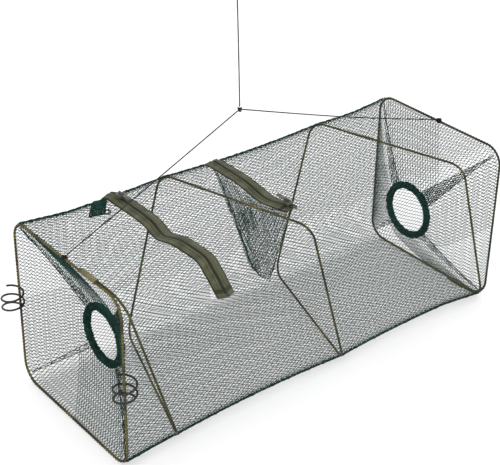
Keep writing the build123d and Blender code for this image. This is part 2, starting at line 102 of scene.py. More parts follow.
# The four sides of the trap, in the order that the coil runs: name, outward way and way along, in Y and Z
SIDES = (
    ("front", (-1, 0), (0, -1)),
    ("bottom", (0, -1), (1, 0)),
    ("back", (1, 0), (0, 1)),
    ("top", (0, 1), (-1, 0)),
)
CORNER_SIGNS = ((-1, 1), (-1, -1), (1, -1), (1, 1))

# Cord routes, in metres: the same points as the cords' tubes follow
LEFT_LEG = ((-0.29484, 0, 0.24171), (-0.17035, 0, 0.29675), (-0.04513, 0, 0.35452))
RIGHT_LEG = ((-0.03842, 0, 0.3549), (0.08775, 0, 0.311), (0.21015, 0, 0.27173), (0.31396, 0, 0.24125))
LIFT_LINE = ((-0.04199, 0, 0.3596), (-0.04395, 0, 0.42593), (-0.04772, 0, 0.508))
LEFT_TIE = (LEFT_X, 0, 0.2399)
RIGHT_TIE = (RIGHT_X, 0, 0.2399)

# The zips' middle lines where they leave a straight run: distance back, sideways shift, height over the net
CATCH_WAVES = ((0.094, 0, 0.0042), (0.079, 0, 0.0026), (0.045, 0.001, 0.002), (0.01, 0.001, 0.001),
               (-0.02, -0.003, 0.001), (-0.05, 0.001, 0.003), (-0.083, 0.002, 0.0024), (-0.11, 0.001, 0.0015))
# Hollows in the top of the net: along, across, depth, and half-widths along and across
HOLLOWS = ((-0.167, -0.012, 0.0055, 0.034, 0.022), (-0.012, -0.02, 0.0075, 0.032, 0.034),
           (0.11, 0.0, 0.002, 0.06, 0.06), (-0.24, 0.03, 0.002, 0.03, 0.05))


# Settings that a user can change

class NettingSettings(bpy.types.PropertyGroup):
    """Sizes and colour of the netting."""
    cell_length: FloatProperty(name="Cell length", description="Mesh size along the trap", default=0.0087,
                               unit="LENGTH")
    cell_width: FloatProperty(name="Cell width", description="Mesh size round the trap", default=0.00507,
                              unit="LENGTH")
    twine: FloatProperty(name="Twine", description="Twine diameter", default=0.00066, unit="LENGTH")
    twine_sides: IntProperty(name="Twine sides", description="Flat faces round the twine", default=4, min=3)
    sag: FloatProperty(name="Sag", description="How far a wide stretch of net sags", default=0.0038,
                       unit="LENGTH")
    colour: FloatVectorProperty(name="Colour", description="Twine colour", subtype="COLOR",
                                default=(0.004, 0.036, 0.028))


class WireSettings(bpy.types.PropertyGroup):
    """Sizes and colours of the spring wire."""
    frame_bend: FloatProperty(name="Frame bend", description="Radius of a frame's corners", default=0.026,
                              unit="LENGTH")
    coil_bend: FloatProperty(name="Coil bend", description="Radius of the coil's corners", default=0.022,
                             unit="LENGTH")
    overlap: FloatProperty(name="Overlap", description="Length that a bend reaches back over a side",
                           default=0.006, unit="LENGTH")
    sides: IntProperty(name="Sides", description="Flat faces round the wire", default=14, min=6)
    dark: FloatVectorProperty(name="Dark", description="Oxide colour", subtype="COLOR",
                              default=(0.02, 0.017, 0.008))
    olive: FloatVectorProperty(name="Olive", description="Worn colour", subtype="COLOR",
                               default=(0.15, 0.13, 0.026))


class ZipSettings(bpy.types.PropertyGroup):
    """Sizes and colours of the zips."""
    tape_width: FloatProperty(name="Tape width", description="Width of one tape", default=0.0126, unit="LENGTH")
    tape_thick: FloatProperty(name="Tape thickness", description="Thickness of the tape", default=0.0008,
                              unit="LENGTH")
    tooth_pitch: FloatProperty(name="Tooth pitch", description="Spacing of the teeth", default=0.00125,
                               unit="LENGTH")
    stitch: FloatProperty(name="Stitch", description="Length of a stitch", default=0.0026, unit="LENGTH")
    tape: FloatVectorProperty(name="Tape", description="Tape colour", subtype="COLOR",
                              default=(0.082, 0.086, 0.046))
    thread: FloatVectorProperty(name="Thread", description="Stitch colour", subtype="COLOR",
                                default=(0.02, 0.024, 0.014))


class CordSettings(bpy.types.PropertyGroup):
    """Sizes and colour of the cords."""
    diameter: FloatProperty(name="Diameter", description="Cord diameter", default=0.0016, unit="LENGTH")
    lay: FloatProperty(name="Lay", description="Length of one twist", default=0.0075, unit="LENGTH")
    colour: FloatVectorProperty(name="Colour", description="Cord colour", subtype="COLOR",
                                default=(0.03, 0.032, 0.03))


class CrabTrapSettings(bpy.types.PropertyGroup):
    """Everything that can be set on the crab trap."""
    netting: PointerProperty(type=NettingSettings)
    wire: PointerProperty(type=WireSettings)
    zips: PointerProperty(type=ZipSettings)
    cords: PointerProperty(type=CordSettings)


# Meshes

def new_object(name, vertices, faces, edges=(), material=None):
    """A smooth mesh object at the origin, with its place in its vertices."""
    mesh = bpy.data.meshes.new(name)
    mesh.from_pydata([tuple(v) for v in vertices], [tuple(e) for e in edges], [tuple(f) for f in faces])
    mesh.polygons.foreach_set("use_smooth", [True] * len(mesh.polygons))
    mesh.update()
    thing = bpy.data.objects.new(name, mesh)
    bpy.context.scene.collection.objects.link(thing)
    if material:
        mesh.materials.append(material)
    return thing


def path_frames(points, closed=False):
    """Two crosswise unit vectors at each point of a path, turning as little as the path allows."""
    points = np.asarray(points, float)
    if closed:
        ways = np.roll(points, -1, 0) - np.roll(points, 1, 0)
    else:
        ways = np.gradient(points, axis=0)
    ways /= np.linalg.norm(ways, axis=1)[:, None]
    across = np.zeros_like(points)
    start = np.cross(ways[0], (0, 0, 1) if abs(ways[0][2]) < 0.9 else (1, 0, 0))
    across[0] = start / np.linalg.norm(start)
    for n in range(1, len(points)):
        side = across[n - 1] - ways[n] * np.dot(across[n - 1], ways[n])
        across[n] = side / np.linalg.norm(side)
    return across, np.cross(ways, across)


def tube(points, radius, sides=8, closed=False):
    """Vertices and faces of a round tube along a path, closed at its ends."""
    points = np.asarray(points, float)
    across, up = path_frames(points, closed)
    radius = np.broadcast_to(np.asarray(radius, float), (len(points),))
    angles = np.arange(sides) * 2 * pi / sides
    rings = points[:, None] + radius[:, None, None] * (
        np.cos(angles)[None, :, None] * across[:, None] + np.sin(angles)[None, :, None] * up[:, None])
    vertices = [tuple(v) for v in rings.reshape(-1, 3)]
    faces = []
    spans = len(points) if closed else len(points) - 1
    twist = 0
    if closed:
        seam = across[0] @ across[-1], across[0] @ up[-1]
        twist = round(np.arctan2(seam[1], seam[0]) / (2 * pi / sides)) % sides
    for n in range(spans):
        near, far = n * sides, (n + 1) % len(points) * sides
        turn = twist if closed and n == spans - 1 else 0
        for s in range(sides):
            a, b = s, (s + 1) % sides
            c, d = (b - turn) % sides, (a - turn) % sides
            faces.append((near + a, near + b, far + c, far + d))
    if not closed:
        faces.append(tuple(range(sides - 1, -1, -1)))
        faces.append(tuple((len(points) - 1) * sides + s for s in range(sides)))
    return vertices, faces


def join_parts(parts):
    """One list of points, and of the faces or edges between them, from several."""
    points, links = [], []
    for more, ties in parts:
        shift = len(points)
        points.extend(more)
        links.extend(tuple(shift + n for n in tie) for tie in ties)
    return points, links


def rounded_path(corners, radii, closed=False, step=0.0015):
    """A wire's path: straight runs between corners that are rounded by arcs."""
    corners = [Vector(c) for c in corners]
    count = len(corners)
    points = []
    for n, corner in enumerate(corners):
        if not closed and n in (0, count - 1):
            points.append(corner)
            continue
        into = (corner - corners[n - 1]).normalized()
        out = (corners[(n + 1) % count] - corner).normalized()
        turn = into.angle(out)
        reach = radii[n] * np.tan(turn / 2)
        start = corner - into * reach
        inward = (out - into * into.dot(out)).normalized()
        steps = max(6, int(radii[n] * turn / step))
        for s in range(steps + 1):
            a = turn * s / steps
            points.append(start + into * radii[n] * sin(a) + inward * radii[n] * (1 - cos(a)))
    return points


# Geometry node trees for what repeats or follows a path

def add_nodes(tree, *kinds):
    return [tree.nodes.new(kind) for kind in kinds]


def connect(tree, *links):
    """Links sockets; each link is a node and its output's name, then a node and its input's name."""
    for giver, output, taker, entry in links:
        tree.links.new(giver.outputs[output], taker.inputs[entry])


def node_tree(name, inputs):
    """A geometry node tree with named inputs, and its first and last nodes."""
    tree = bpy.data.node_groups.new(name, "GeometryNodeTree")
    tree.interface.new_socket("Geometry", in_out="INPUT", socket_type="NodeSocketGeometry")
    for label, kind, value in inputs:
        socket = tree.interface.new_socket(label, in_out="INPUT", socket_type=f"NodeSocket{kind}")
        if value is not None:
            socket.default_value = value
    tree.interface.new_socket("Geometry", in_out="OUTPUT", socket_type="NodeSocketGeometry")
    return tree, *add_nodes(tree, "NodeGroupInput", "NodeGroupOutput")


def finish_tree(tree, start, end, maker, output):
    """Realizes the instances, smooths them and gives them the tree's material."""
    realize, shade, paint = add_nodes(tree, "GeometryNodeRealizeInstances", "GeometryNodeSetShadeSmooth",
                                      "GeometryNodeSetMaterial")
    connect(tree, (maker, output, realize, "Geometry"), (realize, "Geometry", shade, "Geometry"),
            (shade, "Geometry", paint, "Geometry"), (start, "Material", paint, "Material"),
            (paint, "Geometry", end, "Geometry"))
    return tree


def spaced_points(tree, start):
    """Points a spacing apart along the lines that the tree is given."""
    lines, points = add_nodes(tree, "GeometryNodeMeshToCurve", "GeometryNodeCurveToPoints")
    points.mode = "LENGTH"
    connect(tree, (start, "Geometry", lines, "Mesh"), (lines, "Curve", points, "Curve"),
            (start, "Spacing", points, "Length"))
    return points


def set_on(tree, points, maker):
    """Copies of a node's mesh, set on points and turned with them."""
    copies = tree.nodes.new("GeometryNodeInstanceOnPoints")
    connect(tree, (points, "Points", copies, "Points"), (points, "Rotation", copies, "Rotation"),
            (maker, "Mesh", copies, "Instance"))
    return copies


def twine_tree():
    """Every edge of a mesh of lines becomes a run of twine."""
    inputs = (("Radius", "Float", 0.0003), ("Sides", "Int", 4), ("Material", "Material", None))
    tree, start, end = node_tree("Twine", inputs)
    lines, profile, sweep = add_nodes(tree, "GeometryNodeMeshToCurve", "GeometryNodeCurvePrimitiveCircle",
                                      "GeometryNodeCurveToMesh")
    sweep.inputs["Fill Caps"].default_value = True
    connect(tree, (start, "Geometry", lines, "Mesh"), (start, "Radius", profile, "Radius"),
            (start, "Sides", profile, "Resolution"), (lines, "Curve", sweep, "Curve"),
            (profile, "Curve", sweep, "Profile Curve"))
    return finish_tree(tree, start, end, sweep, "Mesh")


def loops_tree():
    """Loops of thread set crosswise along a path: lacing, or the teeth of a coil zip."""
    inputs = (("Spacing", "Float", 0.005), ("Thread", "Float", 0.0003), ("Width", "Float", 0.004),
              ("Height", "Float", 0.004), ("Tilt", "Float", 0.2), ("Material", "Material", None))
    tree, start, end = node_tree("Loops Along Path", inputs)
    points = spaced_points(tree, start)
    ring, profile, sweep, squeeze, size, tilt = add_nodes(
        tree, "GeometryNodeCurvePrimitiveCircle", "GeometryNodeCurvePrimitiveCircle", "GeometryNodeCurveToMesh",
        "GeometryNodeTransform", "ShaderNodeCombineXYZ", "ShaderNodeCombineXYZ")
    ring.inputs["Resolution"].default_value = 12
    ring.inputs["Radius"].default_value = 0.5
    profile.inputs["Resolution"].default_value = 4
    size.inputs["Z"].default_value = 1
    connect(tree, (start, "Width", size, "X"), (start, "Height", size, "Y"), (start, "Tilt", tilt, "X"),
            (ring, "Curve", squeeze, "Geometry"), (size, "Vector", squeeze, "Scale"),
            (tilt, "Vector", squeeze, "Rotation"), (start, "Thread", profile, "Radius"),
            (squeeze, "Geometry", sweep, "Curve"), (profile, "Curve", sweep, "Profile Curve"))
    return finish_tree(tree, start, end, set_on(tree, points, sweep), "Instances")


def stitches_tree():
    """Short raised stitches in a row along a path."""
    inputs = (("Spacing", "Float", 0.003), ("Length", "Float", 0.0022), ("Thread", "Float", 0.0003),
              ("Material", "Material", None))
    tree, start, end = node_tree("Stitches", inputs)
    points = spaced_points(tree, start)
    grain, size, double = add_nodes(tree, "GeometryNodeMeshIcoSphere", "ShaderNodeCombineXYZ", "ShaderNodeMath")
    grain.inputs["Subdivisions"].default_value = 1
    grain.inputs["Radius"].default_value = 0.5
    double.operation = "MULTIPLY"
    double.inputs[1].default_value = 2
    copies = set_on(tree, points, grain)
    connect(tree, (start, "Thread", double, 0), (double, "Value", size, "X"), (double, "Value", size, "Y"),
            (start, "Length", size, "Z"), (size, "Vector", copies, "Scale"))
    return finish_tree(tree, start, end, copies, "Instances")


TREE_MAKERS = {"twine": twine_tree, "loops": loops_tree, "stitches": stitches_tree}
TREES = {}


def grown(name, points, edges, kind, material, **values):
    """A plain mesh that a node tree makes from lines."""
    tree = TREES.get(kind) or TREES.setdefault(kind, TREE_MAKERS[kind]())
    lines = new_object(f"{name}_lines", points, (), edges)
    modifier = lines.modifiers.new(kind, "NODES")
    modifier.node_group = tree
    sockets = {s.name: s.identifier for s in tree.interface.items_tree if s.in_out == "INPUT"}
    for label, value in (*values.items(), ("Material", material)):
        modifier[sockets[label]] = value
    mesh = bpy.data.meshes.new_from_object(lines.evaluated_get(bpy.context.evaluated_depsgraph_get()))
    bpy.data.objects.remove(lines)
    mesh.name = name
    thing = bpy.data.objects.new(name, mesh)
    bpy.context.scene.collection.objects.link(thing)
    return thing


def knitted(name, meshes, settings, thickness=1.0):
    """Netting: every edge of some meshes of lines as twine, in one plain mesh."""
    net = settings.netting
    return grown(name, *join_parts(meshes), "twine", material("netting", settings),
                 Radius=net.twine / 2 * thickness, Sides=net.twine_sides)


def chains(paths, closed=False):
    """Vertices and edges of several lines of points."""
    points, edges = [], []
    for path in paths:
        first = len(points)
        points.extend(tuple(p) for p in path)
        edges.extend((n, n + 1) for n in range(first, len(points) - 1))
        if closed:
            edges.append((len(points) - 1, first))
    return points, edges


def diamond_strands(columns, rows, low_row=0):
    """Node numbers along every strand of a diamond mesh, one family each way."""
    for start in range(-rows - low_row - (rows + low_row) % 2, columns - low_row + 1, 2):
        i = np.arange(max(0, start + low_row), min(columns, start + rows) + 1)
        if len(i) > 1:
            yield i, i - start
    for start in range(low_row - low_row % 2, columns + rows + 1, 2):
        i = np.arange(max(0, start - rows), min(columns, start - low_row) + 1)
        if len(i) > 1:
            yield i, start - i


def lattice(columns, rows, place, low_row=0, keep=None):
    """Vertices and edges of a diamond mesh of strands; place gives a node's point, keep says which nodes stay."""
    points, edges = [], []
    for i, j in diamond_strands(columns, rows, low_row):
        here = place(i, j)
        held = np.ones(len(i), bool) if keep is None else keep(i, j, here)
        first = len(points)
        points.extend(map(tuple, here))
        edges.extend((first + n, first + n + 1) for n in range(len(i) - 1) if held[n] and held[n + 1])
    used = sorted({n for edge in edges for n in edge})
    renumber = {old: new for new, old in enumerate(used)}
    return [points[n] for n in used], [(renumber[a], renumber[b]) for a, b in edges]


# Materials

def material_base(name, roughness, metallic=0.0, sheen=0.0, specular=0.5):
    """A material with its shader, its texture coordinates and its tree."""
    material = bpy.data.materials.new(name)
    material.use_nodes = True
    tree = material.node_tree
    shader = tree.nodes["Principled BSDF"]
    shader.inputs["Roughness"].default_value = roughness
    shader.inputs["Metallic"].default_value = metallic
    shader.inputs["Sheen Weight"].default_value = sheen
    shader.inputs["Specular IOR Level"].default_value = specular
    place = tree.nodes.new("ShaderNodeTexCoord")
    return material, tree, shader, place


def noise(tree, place, scale, detail=3.0, output="Object"):
    texture = tree.nodes.new("ShaderNodeTexNoise")
    texture.inputs["Scale"].default_value = scale
    texture.inputs["Detail"].default_value = detail
    tree.links.new(place.outputs[output], texture.inputs["Vector"])
    return texture.outputs["Fac"]


def ramp(tree, factor, stops):
    """Colours along a factor: stops are pairs of position and colour."""
    node = tree.nodes.new("ShaderNodeValToRGB")
    while len(node.color_ramp.elements) < len(stops):
        node.color_ramp.elements.new(0.5)
    for element, (position, colour) in zip(node.color_ramp.elements, stops):
        element.position = position
        element.color = (*colour, 1)
    tree.links.new(factor, node.inputs["Fac"])
    return node.outputs["Color"]


def scaled(colour, by):
    return tuple(min(1.0, c * by) for c in colour)


def blend_colours(tree, factor, first, second, mode="MIX"):
    node = tree.nodes.new("ShaderNodeMix")
    node.data_type = "RGBA"
    node.blend_type = mode
    for socket, value in ((node.inputs["Factor"], factor), (node.inputs["A"], first), (node.inputs["B"], second)):
        if hasattr(value, "is_output"):
            tree.links.new(value, socket)
        elif isinstance(value, float):
            socket.default_value = value
        else:
            socket.default_value = (*value, 1)
    return node.outputs["Result"]


def mottle(tree, body, texture, amount, stops, mode="SOFT_LIGHT"):
    """A colour made lighter and darker by greys along a texture; stops are pairs of position and grey."""
    greys = ramp(tree, texture, [(position, (grey,) * 3) for position, grey in stops])
    return blend_colours(tree, amount, body, greys, mode)


def add_bump(tree, shader, height, distance, strength=0.6):
    node = tree.nodes.new("ShaderNodeBump")
    node.inputs["Distance"].default_value = distance
    node.inputs["Strength"].default_value = strength
    tree.links.new(height, node.inputs["Height"])
    tree.links.new(node.outputs["Normal"], shader.inputs["Normal"])


def dress(tree, shader, colour, texture, roughness, distance, strength=0.6):
    """Gives a shader its colour, and its roughness, from low to high, and its bump along a fine texture."""
    tree.links.new(colour, shader.inputs["Base Color"])
    node = tree.nodes.new("ShaderNodeMapRange")
    node.inputs["To Min"].default_value, node.inputs["To Max"].default_value = roughness
    tree.links.new(texture, node.inputs["Value"])
    tree.links.new(node.outputs["Result"], shader.inputs["Roughness"])
    add_bump(tree, shader, texture, distance, strength)


def twine_material(name, colour, light=2.4, patch=90.0):
    """Twisted green twine that fades in patches."""
    material, tree, shader, place = material_base(name, 0.66, specular=0.18)
    body = ramp(tree, noise(tree, place, patch),
                ((0.3, scaled(colour, 0.55)), (0.55, colour), (0.75, scaled(colour, light))))
    fibres = noise(tree, place, 2600.0, 1.0)
    dress(tree, shader, mottle(tree, body, fibres, 0.35, ((0.35, 0.1), (0.65, 0.9))), fibres, (0.5, 0.8), 0.0002)
    return material


def wire_material(settings):
    """Spring wire under a dark oxide that has worn to olive and rust in patches."""
    material, tree, shader, place = material_base("spring_wire", 0.5, metallic=0.35)
    body = ramp(tree, noise(tree, place, 26.0, 4.0),
                ((0.38, settings.dark), (0.48, scaled(settings.olive, 0.35)), (0.56, settings.olive),
                 (0.72, scaled(settings.olive, 0.5))))
    specks = noise(tree, place, 420.0, 4.0)
    worn = ramp(tree, specks, ((0.5, (0, 0, 0)), (0.68, (1, 1, 1))))
    rust = (0.12, 0.05, 0.014)
    dress(tree, shader, blend_colours(tree, worn, body, rust), specks, (0.32, 0.72), 0.00025)
    return material


def ferrule_material():
    """Soft metal with a worn olive lacquer, scratched along the crimps."""
    material, tree, shader, place = material_base("crimp_metal", 0.4, metallic=0.6)
    body = ramp(tree, noise(tree, place, 120.0),
                ((0.35, (0.045, 0.047, 0.014)), (0.55, (0.15, 0.122, 0.028)), (0.75, (0.075, 0.08, 0.025))))
    scratches = noise(tree, place, 700.0, 5.0)
    marks = ramp(tree, scratches, ((0.4, (0.02, 0.02, 0.01)), (0.7, (0.5, 0.46, 0.3))))
    dress(tree, shader, blend_colours(tree, 0.3, body, marks), scratches, (0.25, 0.6), 0.0002)
    return material


def coated_material(name, colour, roughness=0.34, fine=500.0):
    """A plastic or enamel coat with slight orange peel, dust and rubbed high spots."""
    material, tree, shader, place = material_base(name, roughness)
    body = ramp(tree, noise(tree, place, 60.0, 4.0),
                ((0.4, colour), (0.7, scaled(colour, 1.9)), (0.85, scaled(colour, 3.0))))
    peel = noise(tree, place, fine, 3.0)
    dress(tree, shader, body, peel, (roughness - 0.1, roughness + 0.18), 0.0001, 0.4)
    return material


def tape_material(settings):
    """Woven tape: a herringbone across its width, lighter in the middle, dark along its sewn lines, and dark next
    to the teeth as painted shade under them.
    """
    material, tree, shader, place = material_base("zip_tape", 0.8, sheen=0.05, specular=0.2)
    weave, ribs, across, share, edge = add_nodes(tree, "ShaderNodeTexWave", "ShaderNodeTexWave",
                                                 "ShaderNodeSeparateXYZ", "ShaderNodeMath", "ShaderNodeMapRange")
    weave.bands_direction = "DIAGONAL"
    weave.inputs["Scale"].default_value = 330.0
    weave.inputs["Distortion"].default_value = 0.6
    ribs.bands_direction = "X"
    ribs.inputs["Scale"].default_value = 420.0
    share.operation = "ABSOLUTE"
    edge.inputs["From Max"].default_value = settings.tape_width
    connect(tree, (place, "UV", weave, "Vector"), (place, "UV", ribs, "Vector"), (place, "UV", across, "Vector"),
            (across, "X", share, 0), (share, "Value", edge, "Value"))
    body = ramp(tree, noise(tree, place, 70.0, 4.0),
                ((0.3, scaled(settings.tape, 0.62)), (0.5, settings.tape), (0.72, scaled(settings.tape, 1.45))))
    # Greys across the tape: dark next to the teeth as painted shade under them, and dark at 0.4 and past 0.92
    # along the two sewn lines
    sewn_lines_and_teeth_shade = ((0.12, 0.12), (0.2, 1), (0.36, 1), (0.4, 0.12), (0.44, 1), (0.86, 1), (0.92, 0.12))
    body = mottle(tree, body, edge.outputs["Result"], 0.85, sewn_lines_and_teeth_shade, "MULTIPLY")
    cloth = mottle(tree, body, weave.outputs["Fac"], 0.55, ((0.2, 0.25), (0.8, 0.8)))
    colour = mottle(tree, cloth, noise(tree, place, 1500.0, 2.0), 0.3, ((0.35, 0.15), (0.65, 0.85)))
    tree.links.new(colour, shader.inputs["Base Color"])
    heights = blend_colours(tree, 0.5, weave.outputs["Color"], ribs.outputs["Color"])
    add_bump(tree, shader, heights, 0.0003, 0.8)
    return material


MATERIALS = {}


def material(name, settings):
    """The object's materials by name, made when first asked for."""
    makers = {
        "netting": lambda: twine_material("netting", settings.netting.colour),
        "wound_net": lambda: twine_material("wound_net", scaled(settings.netting.colour, 0.8), 3.4, 260.0),
        "seam_cord": lambda: twine_material("seam_cord", scaled(settings.netting.colour, 0.6), 1.8),
        "line_cord": lambda: twine_material("line_cord", settings.cords.colour, 1.6),
        # The knots' cord is the line's cord colour darkened to 0.4: painted shade for the tight turns of a knot
        "knot_cord": lambda: twine_material("knot_cord", scaled(settings.cords.colour, 0.4), 1.5),
        "spring_wire": lambda: wire_material(settings.wire),
        "crimp_metal": ferrule_material,
        "black_wire": lambda: coated_material("black_wire", (0.003, 0.003, 0.003), 0.42),
        "ring_plastic": lambda: coated_material("ring_plastic", (0.02, 0.03, 0.025), 0.45),
        "zip_metal": lambda: coated_material("zip_metal", (0.045, 0.046, 0.036), 0.36, 900.0),
        "zip_teeth": lambda: coated_material("zip_teeth", (0.02, 0.021, 0.014), 0.4, 900.0),
        "zip_tape": lambda: tape_material(settings.zips),
        "stitching": lambda: twine_material("stitching", settings.zips.thread, 1.5),
    }
    return MATERIALS.get(name) or MATERIALS.setdefault(name, makers[name]())


def repaint(node, new_material):
    """Gives a CAD node the finish of the real piece."""
    slots = frame["nodes"][node].material_slots
    for slot in slots:
        slot.material = new_material
    if not slots:
        frame["nodes"][node].data.materials.append(new_material)


# How pieces take their places in the model

def stand_for(thing, body, node):
    """Rides a piece on a body, in a CAD node's place."""
    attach(thing, body)
    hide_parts(node)


def fold_away(thing, node=None, body="left_end"):
    """Rides a soft piece on an end of the trap, in place of its CAD node if one is given, with a mesh of its own.
    """
    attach(thing, body)
    if node:
        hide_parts(node)
    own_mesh(thing)


# The coil: its corners follow from where its sides hinge

def corner_place(k, x):
    side, level = CORNER_SIGNS[k % 4]
    half = FRAME_HALF if k in (0, COIL_SIDES) else COIL_HALF
    return np.array((x, side * half, MID_Z + level * half))


def coil_corners():
    """Where the coil's straight sides would meet: each from the hinge and the slope of the side after it."""
    corners = []
    for k in range(COIL_SIDES):
        low, high = box(f"coil_side_{k + 1}")
        size = high - low
        way = size / np.linalg.norm(size)
        # The box holds the side's length along its slope and its thickness across it
        for _ in range(8):
            way = size - WIRE * np.sqrt(1 - way ** 2)
            way /= np.linalg.norm(way)
        run = int(np.argmax(size[1:])) + 1
        hinge = np.array(HINGES[f"coil_side_{k + 1}_tilt"]["pos_m"])
        corner = corner_place(k, 0)
        corner[0] = hinge[0] - abs(hinge[run] - corner[run]) * way[0] / way[run]
        corners.append(corner)
    return [*corners, corner_place(COIL_SIDES, END_X)]


CORNERS = coil_corners()
CORNER_X = [corner[0] for corner in CORNERS]


# The net tube

NET_BEND = 0.0278
NET_WIDTH = 2 * (FRAME_HALF - NET_BEND) + NET_BEND * pi / 2     # one side of the tube, round its corners
FRAME_COVER = 0.0004    # gap from a frame's wire to the twine's middle
COIL_COVER = 0.0016     # gap from the coil's wire to the twine's middle
EASE_RUN = 0.07         # run over which the net comes in from a frame to the coil
WIDE_STRETCH = 0.27     # the open stretch of net that sags by the amount in the settings
SLIT_HALF = 0.0035      # half the opening under a zip
SLIT_END = 0.004        # net left whole at each end of a zip's teeth


def section(side, u, half, bend):
    """Points and outward ways at share u of one side of a rounded square, corner middle to corner middle."""
    out, along = (np.array(way, float) for way in SIDES[side][1:])
    flat, arc = half - bend, bend * pi / 4
    run = u * 2 * (flat + arc)
    turn = (np.minimum(run - arc, 0) + np.maximum(run - arc - 2 * flat, 0)) / bend
    a = np.clip(run - arc, 0, 2 * flat) - flat + bend * np.sin(turn)
    b = flat + bend * np.cos(turn)
    ways = np.cos(turn)[..., None] * out + np.sin(turn)[..., None] * along
    return a[..., None] * along + b[..., None] * out, ways


def net_half(x):
    """Half the net's size: over the frames at the ends, and just over the coil between them."""
    end, core = FRAME_HALF + WIRE / 2 + FRAME_COVER, COIL_HALF + WIRE / 2 + COIL_COVER
    near = np.minimum(x - LEFT_X, RIGHT_X - x)
    return core + (end - core) * np.clip(1 - near / EASE_RUN, 0, 1)


def net_sag(x, q, sag):
    """How far the net stands in between its wires; q counts sides round from the front top corner."""
    limits = [np.full_like(x, LEFT_X)]
    for turn in (0, 4, 8):
        there = np.interp(q + turn, range(COIL_SIDES + 1), CORNER_X)
        limits.append(np.where(q + turn <= COIL_SIDES, there, RIGHT_X))
    limits.append(np.full_like(x, RIGHT_X))
    depth = np.zeros_like(x)
    for low, high in zip(limits, limits[1:]):
        gap = np.maximum(high - low, 1e-6)
        share = (x - low) / gap
        within = (share > 0) & (share < 1)
        depth += np.where(within, sag * (gap / WIDE_STRETCH) ** 2 * 4 * share * (1 - share), 0)
    return depth


def hollow(x, y):
    """Depth of the hollows in the top."""
    return sum(d * np.exp(-((x - a) / w) ** 2 - ((y - b) / h) ** 2) for a, b, d, w, h in HOLLOWS)


def net_point(side, x, u, sag):
    """Points of the net tube and its outward ways."""
    x, u = np.broadcast_arrays(np.asarray(x, float), np.asarray(u, float))
    flat, ways = section(side, u, net_half(x), NET_BEND)
    depth = net_sag(x, side + u, sag) + hollow(x, flat[..., 0]) * np.maximum(ways[..., 1], 0)
    flat = flat - ways * depth[..., None]
    points = np.stack((x, flat[..., 0], MID_Z + flat[..., 1]), -1)
    return points, np.concatenate((np.zeros((*x.shape, 1)), ways), -1)


def top_height(x, y, sag):
    """Height of the net's upper side, where it is flat across."""
    side_run = 2 * (net_half(np.asarray(x, float)) - NET_BEND) + NET_BEND * pi / 2
    u = 0.5 - np.asarray(y, float) / side_run
    return net_point(3, x, u, sag)[0][..., 2]


def in_slit(name, points):
    """Which points of a side of the net lie in the opening under a zip."""
    slit = np.zeros(len(points), bool)
    x, y, z = points.T
    for zip_name in ("catch_zip", "bait_zip"):
        low, high = box(f"{zip_name}_teeth")
        bottom = max(MID_Z, low[2]) if name == "front" else MID_Z
        slit |= ((abs(x - (low[0] + high[0]) / 2) < SLIT_HALF) & (z > bottom)
                 & (y > low[1] + SLIT_END) & (y < high[1] - SLIT_END))
    return slit


def net_panel(side, settings):
    """One side of the net tube: a diamond mesh laced to both frames."""
    net = settings.netting
    columns = 2 * round(SPAN / net.cell_length)
    rows = 2 * round(NET_WIDTH / net.cell_width)
    name = SIDES[side][0]

    def place(i, j):
        q = side + j / rows
        x = LEFT_X + SPAN * i / columns
        ease = np.sin(pi * i / columns)
        x = x + ease * (0.0016 * np.sin(2 * pi * q + 31 * x) + 0.001 * np.sin(6 * pi * q + 57 * x))
        u = j / rows + ease * 0.003 * np.sin(47 * x + 5 * pi * q / 2) * np.sin(pi * j / rows)
        points, ways = net_point(side, x, u, net.sag)
        over = np.where(i % 2 == 0, 0.00012, -0.00012)
        return points + ways * over[:, None]

    def keep(_i, _j, points):
        return ~in_slit(name, points)

    mesh = lattice(columns, rows, place, keep=keep if name in ("top", "front") else None)
    panel = knitted(f"{name}_netting", [mesh], settings)
    fold_away(panel, f"net_{name}")


# Operators

def settings_of(context):
    return context.scene.crab_trap


CAMERA_PLACE = (-0.9515, -1.1428, 1.0316)
CAMERA_AXES = ((0.7811, -0.6243, 0.0143), (0.3042, 0.4004, 0.8644), (-0.5453, -0.6708, 0.5026))
LENS = 94.65
# Soft lamps: name, place, power and size
LAMPS = (("key", (-1.6, -1.4, 2.4), 16, 2.2), ("fill", (1.8, -1.6, 1.8), 9, 2.4),
         ("rim", (0.4, 2.0, 2.2), 9, 2.2))
LAMPS_AIM = (0, 0, 0.12)
FLOOR_HALF = 6.0
FLOOR_LEVEL = -0.0006


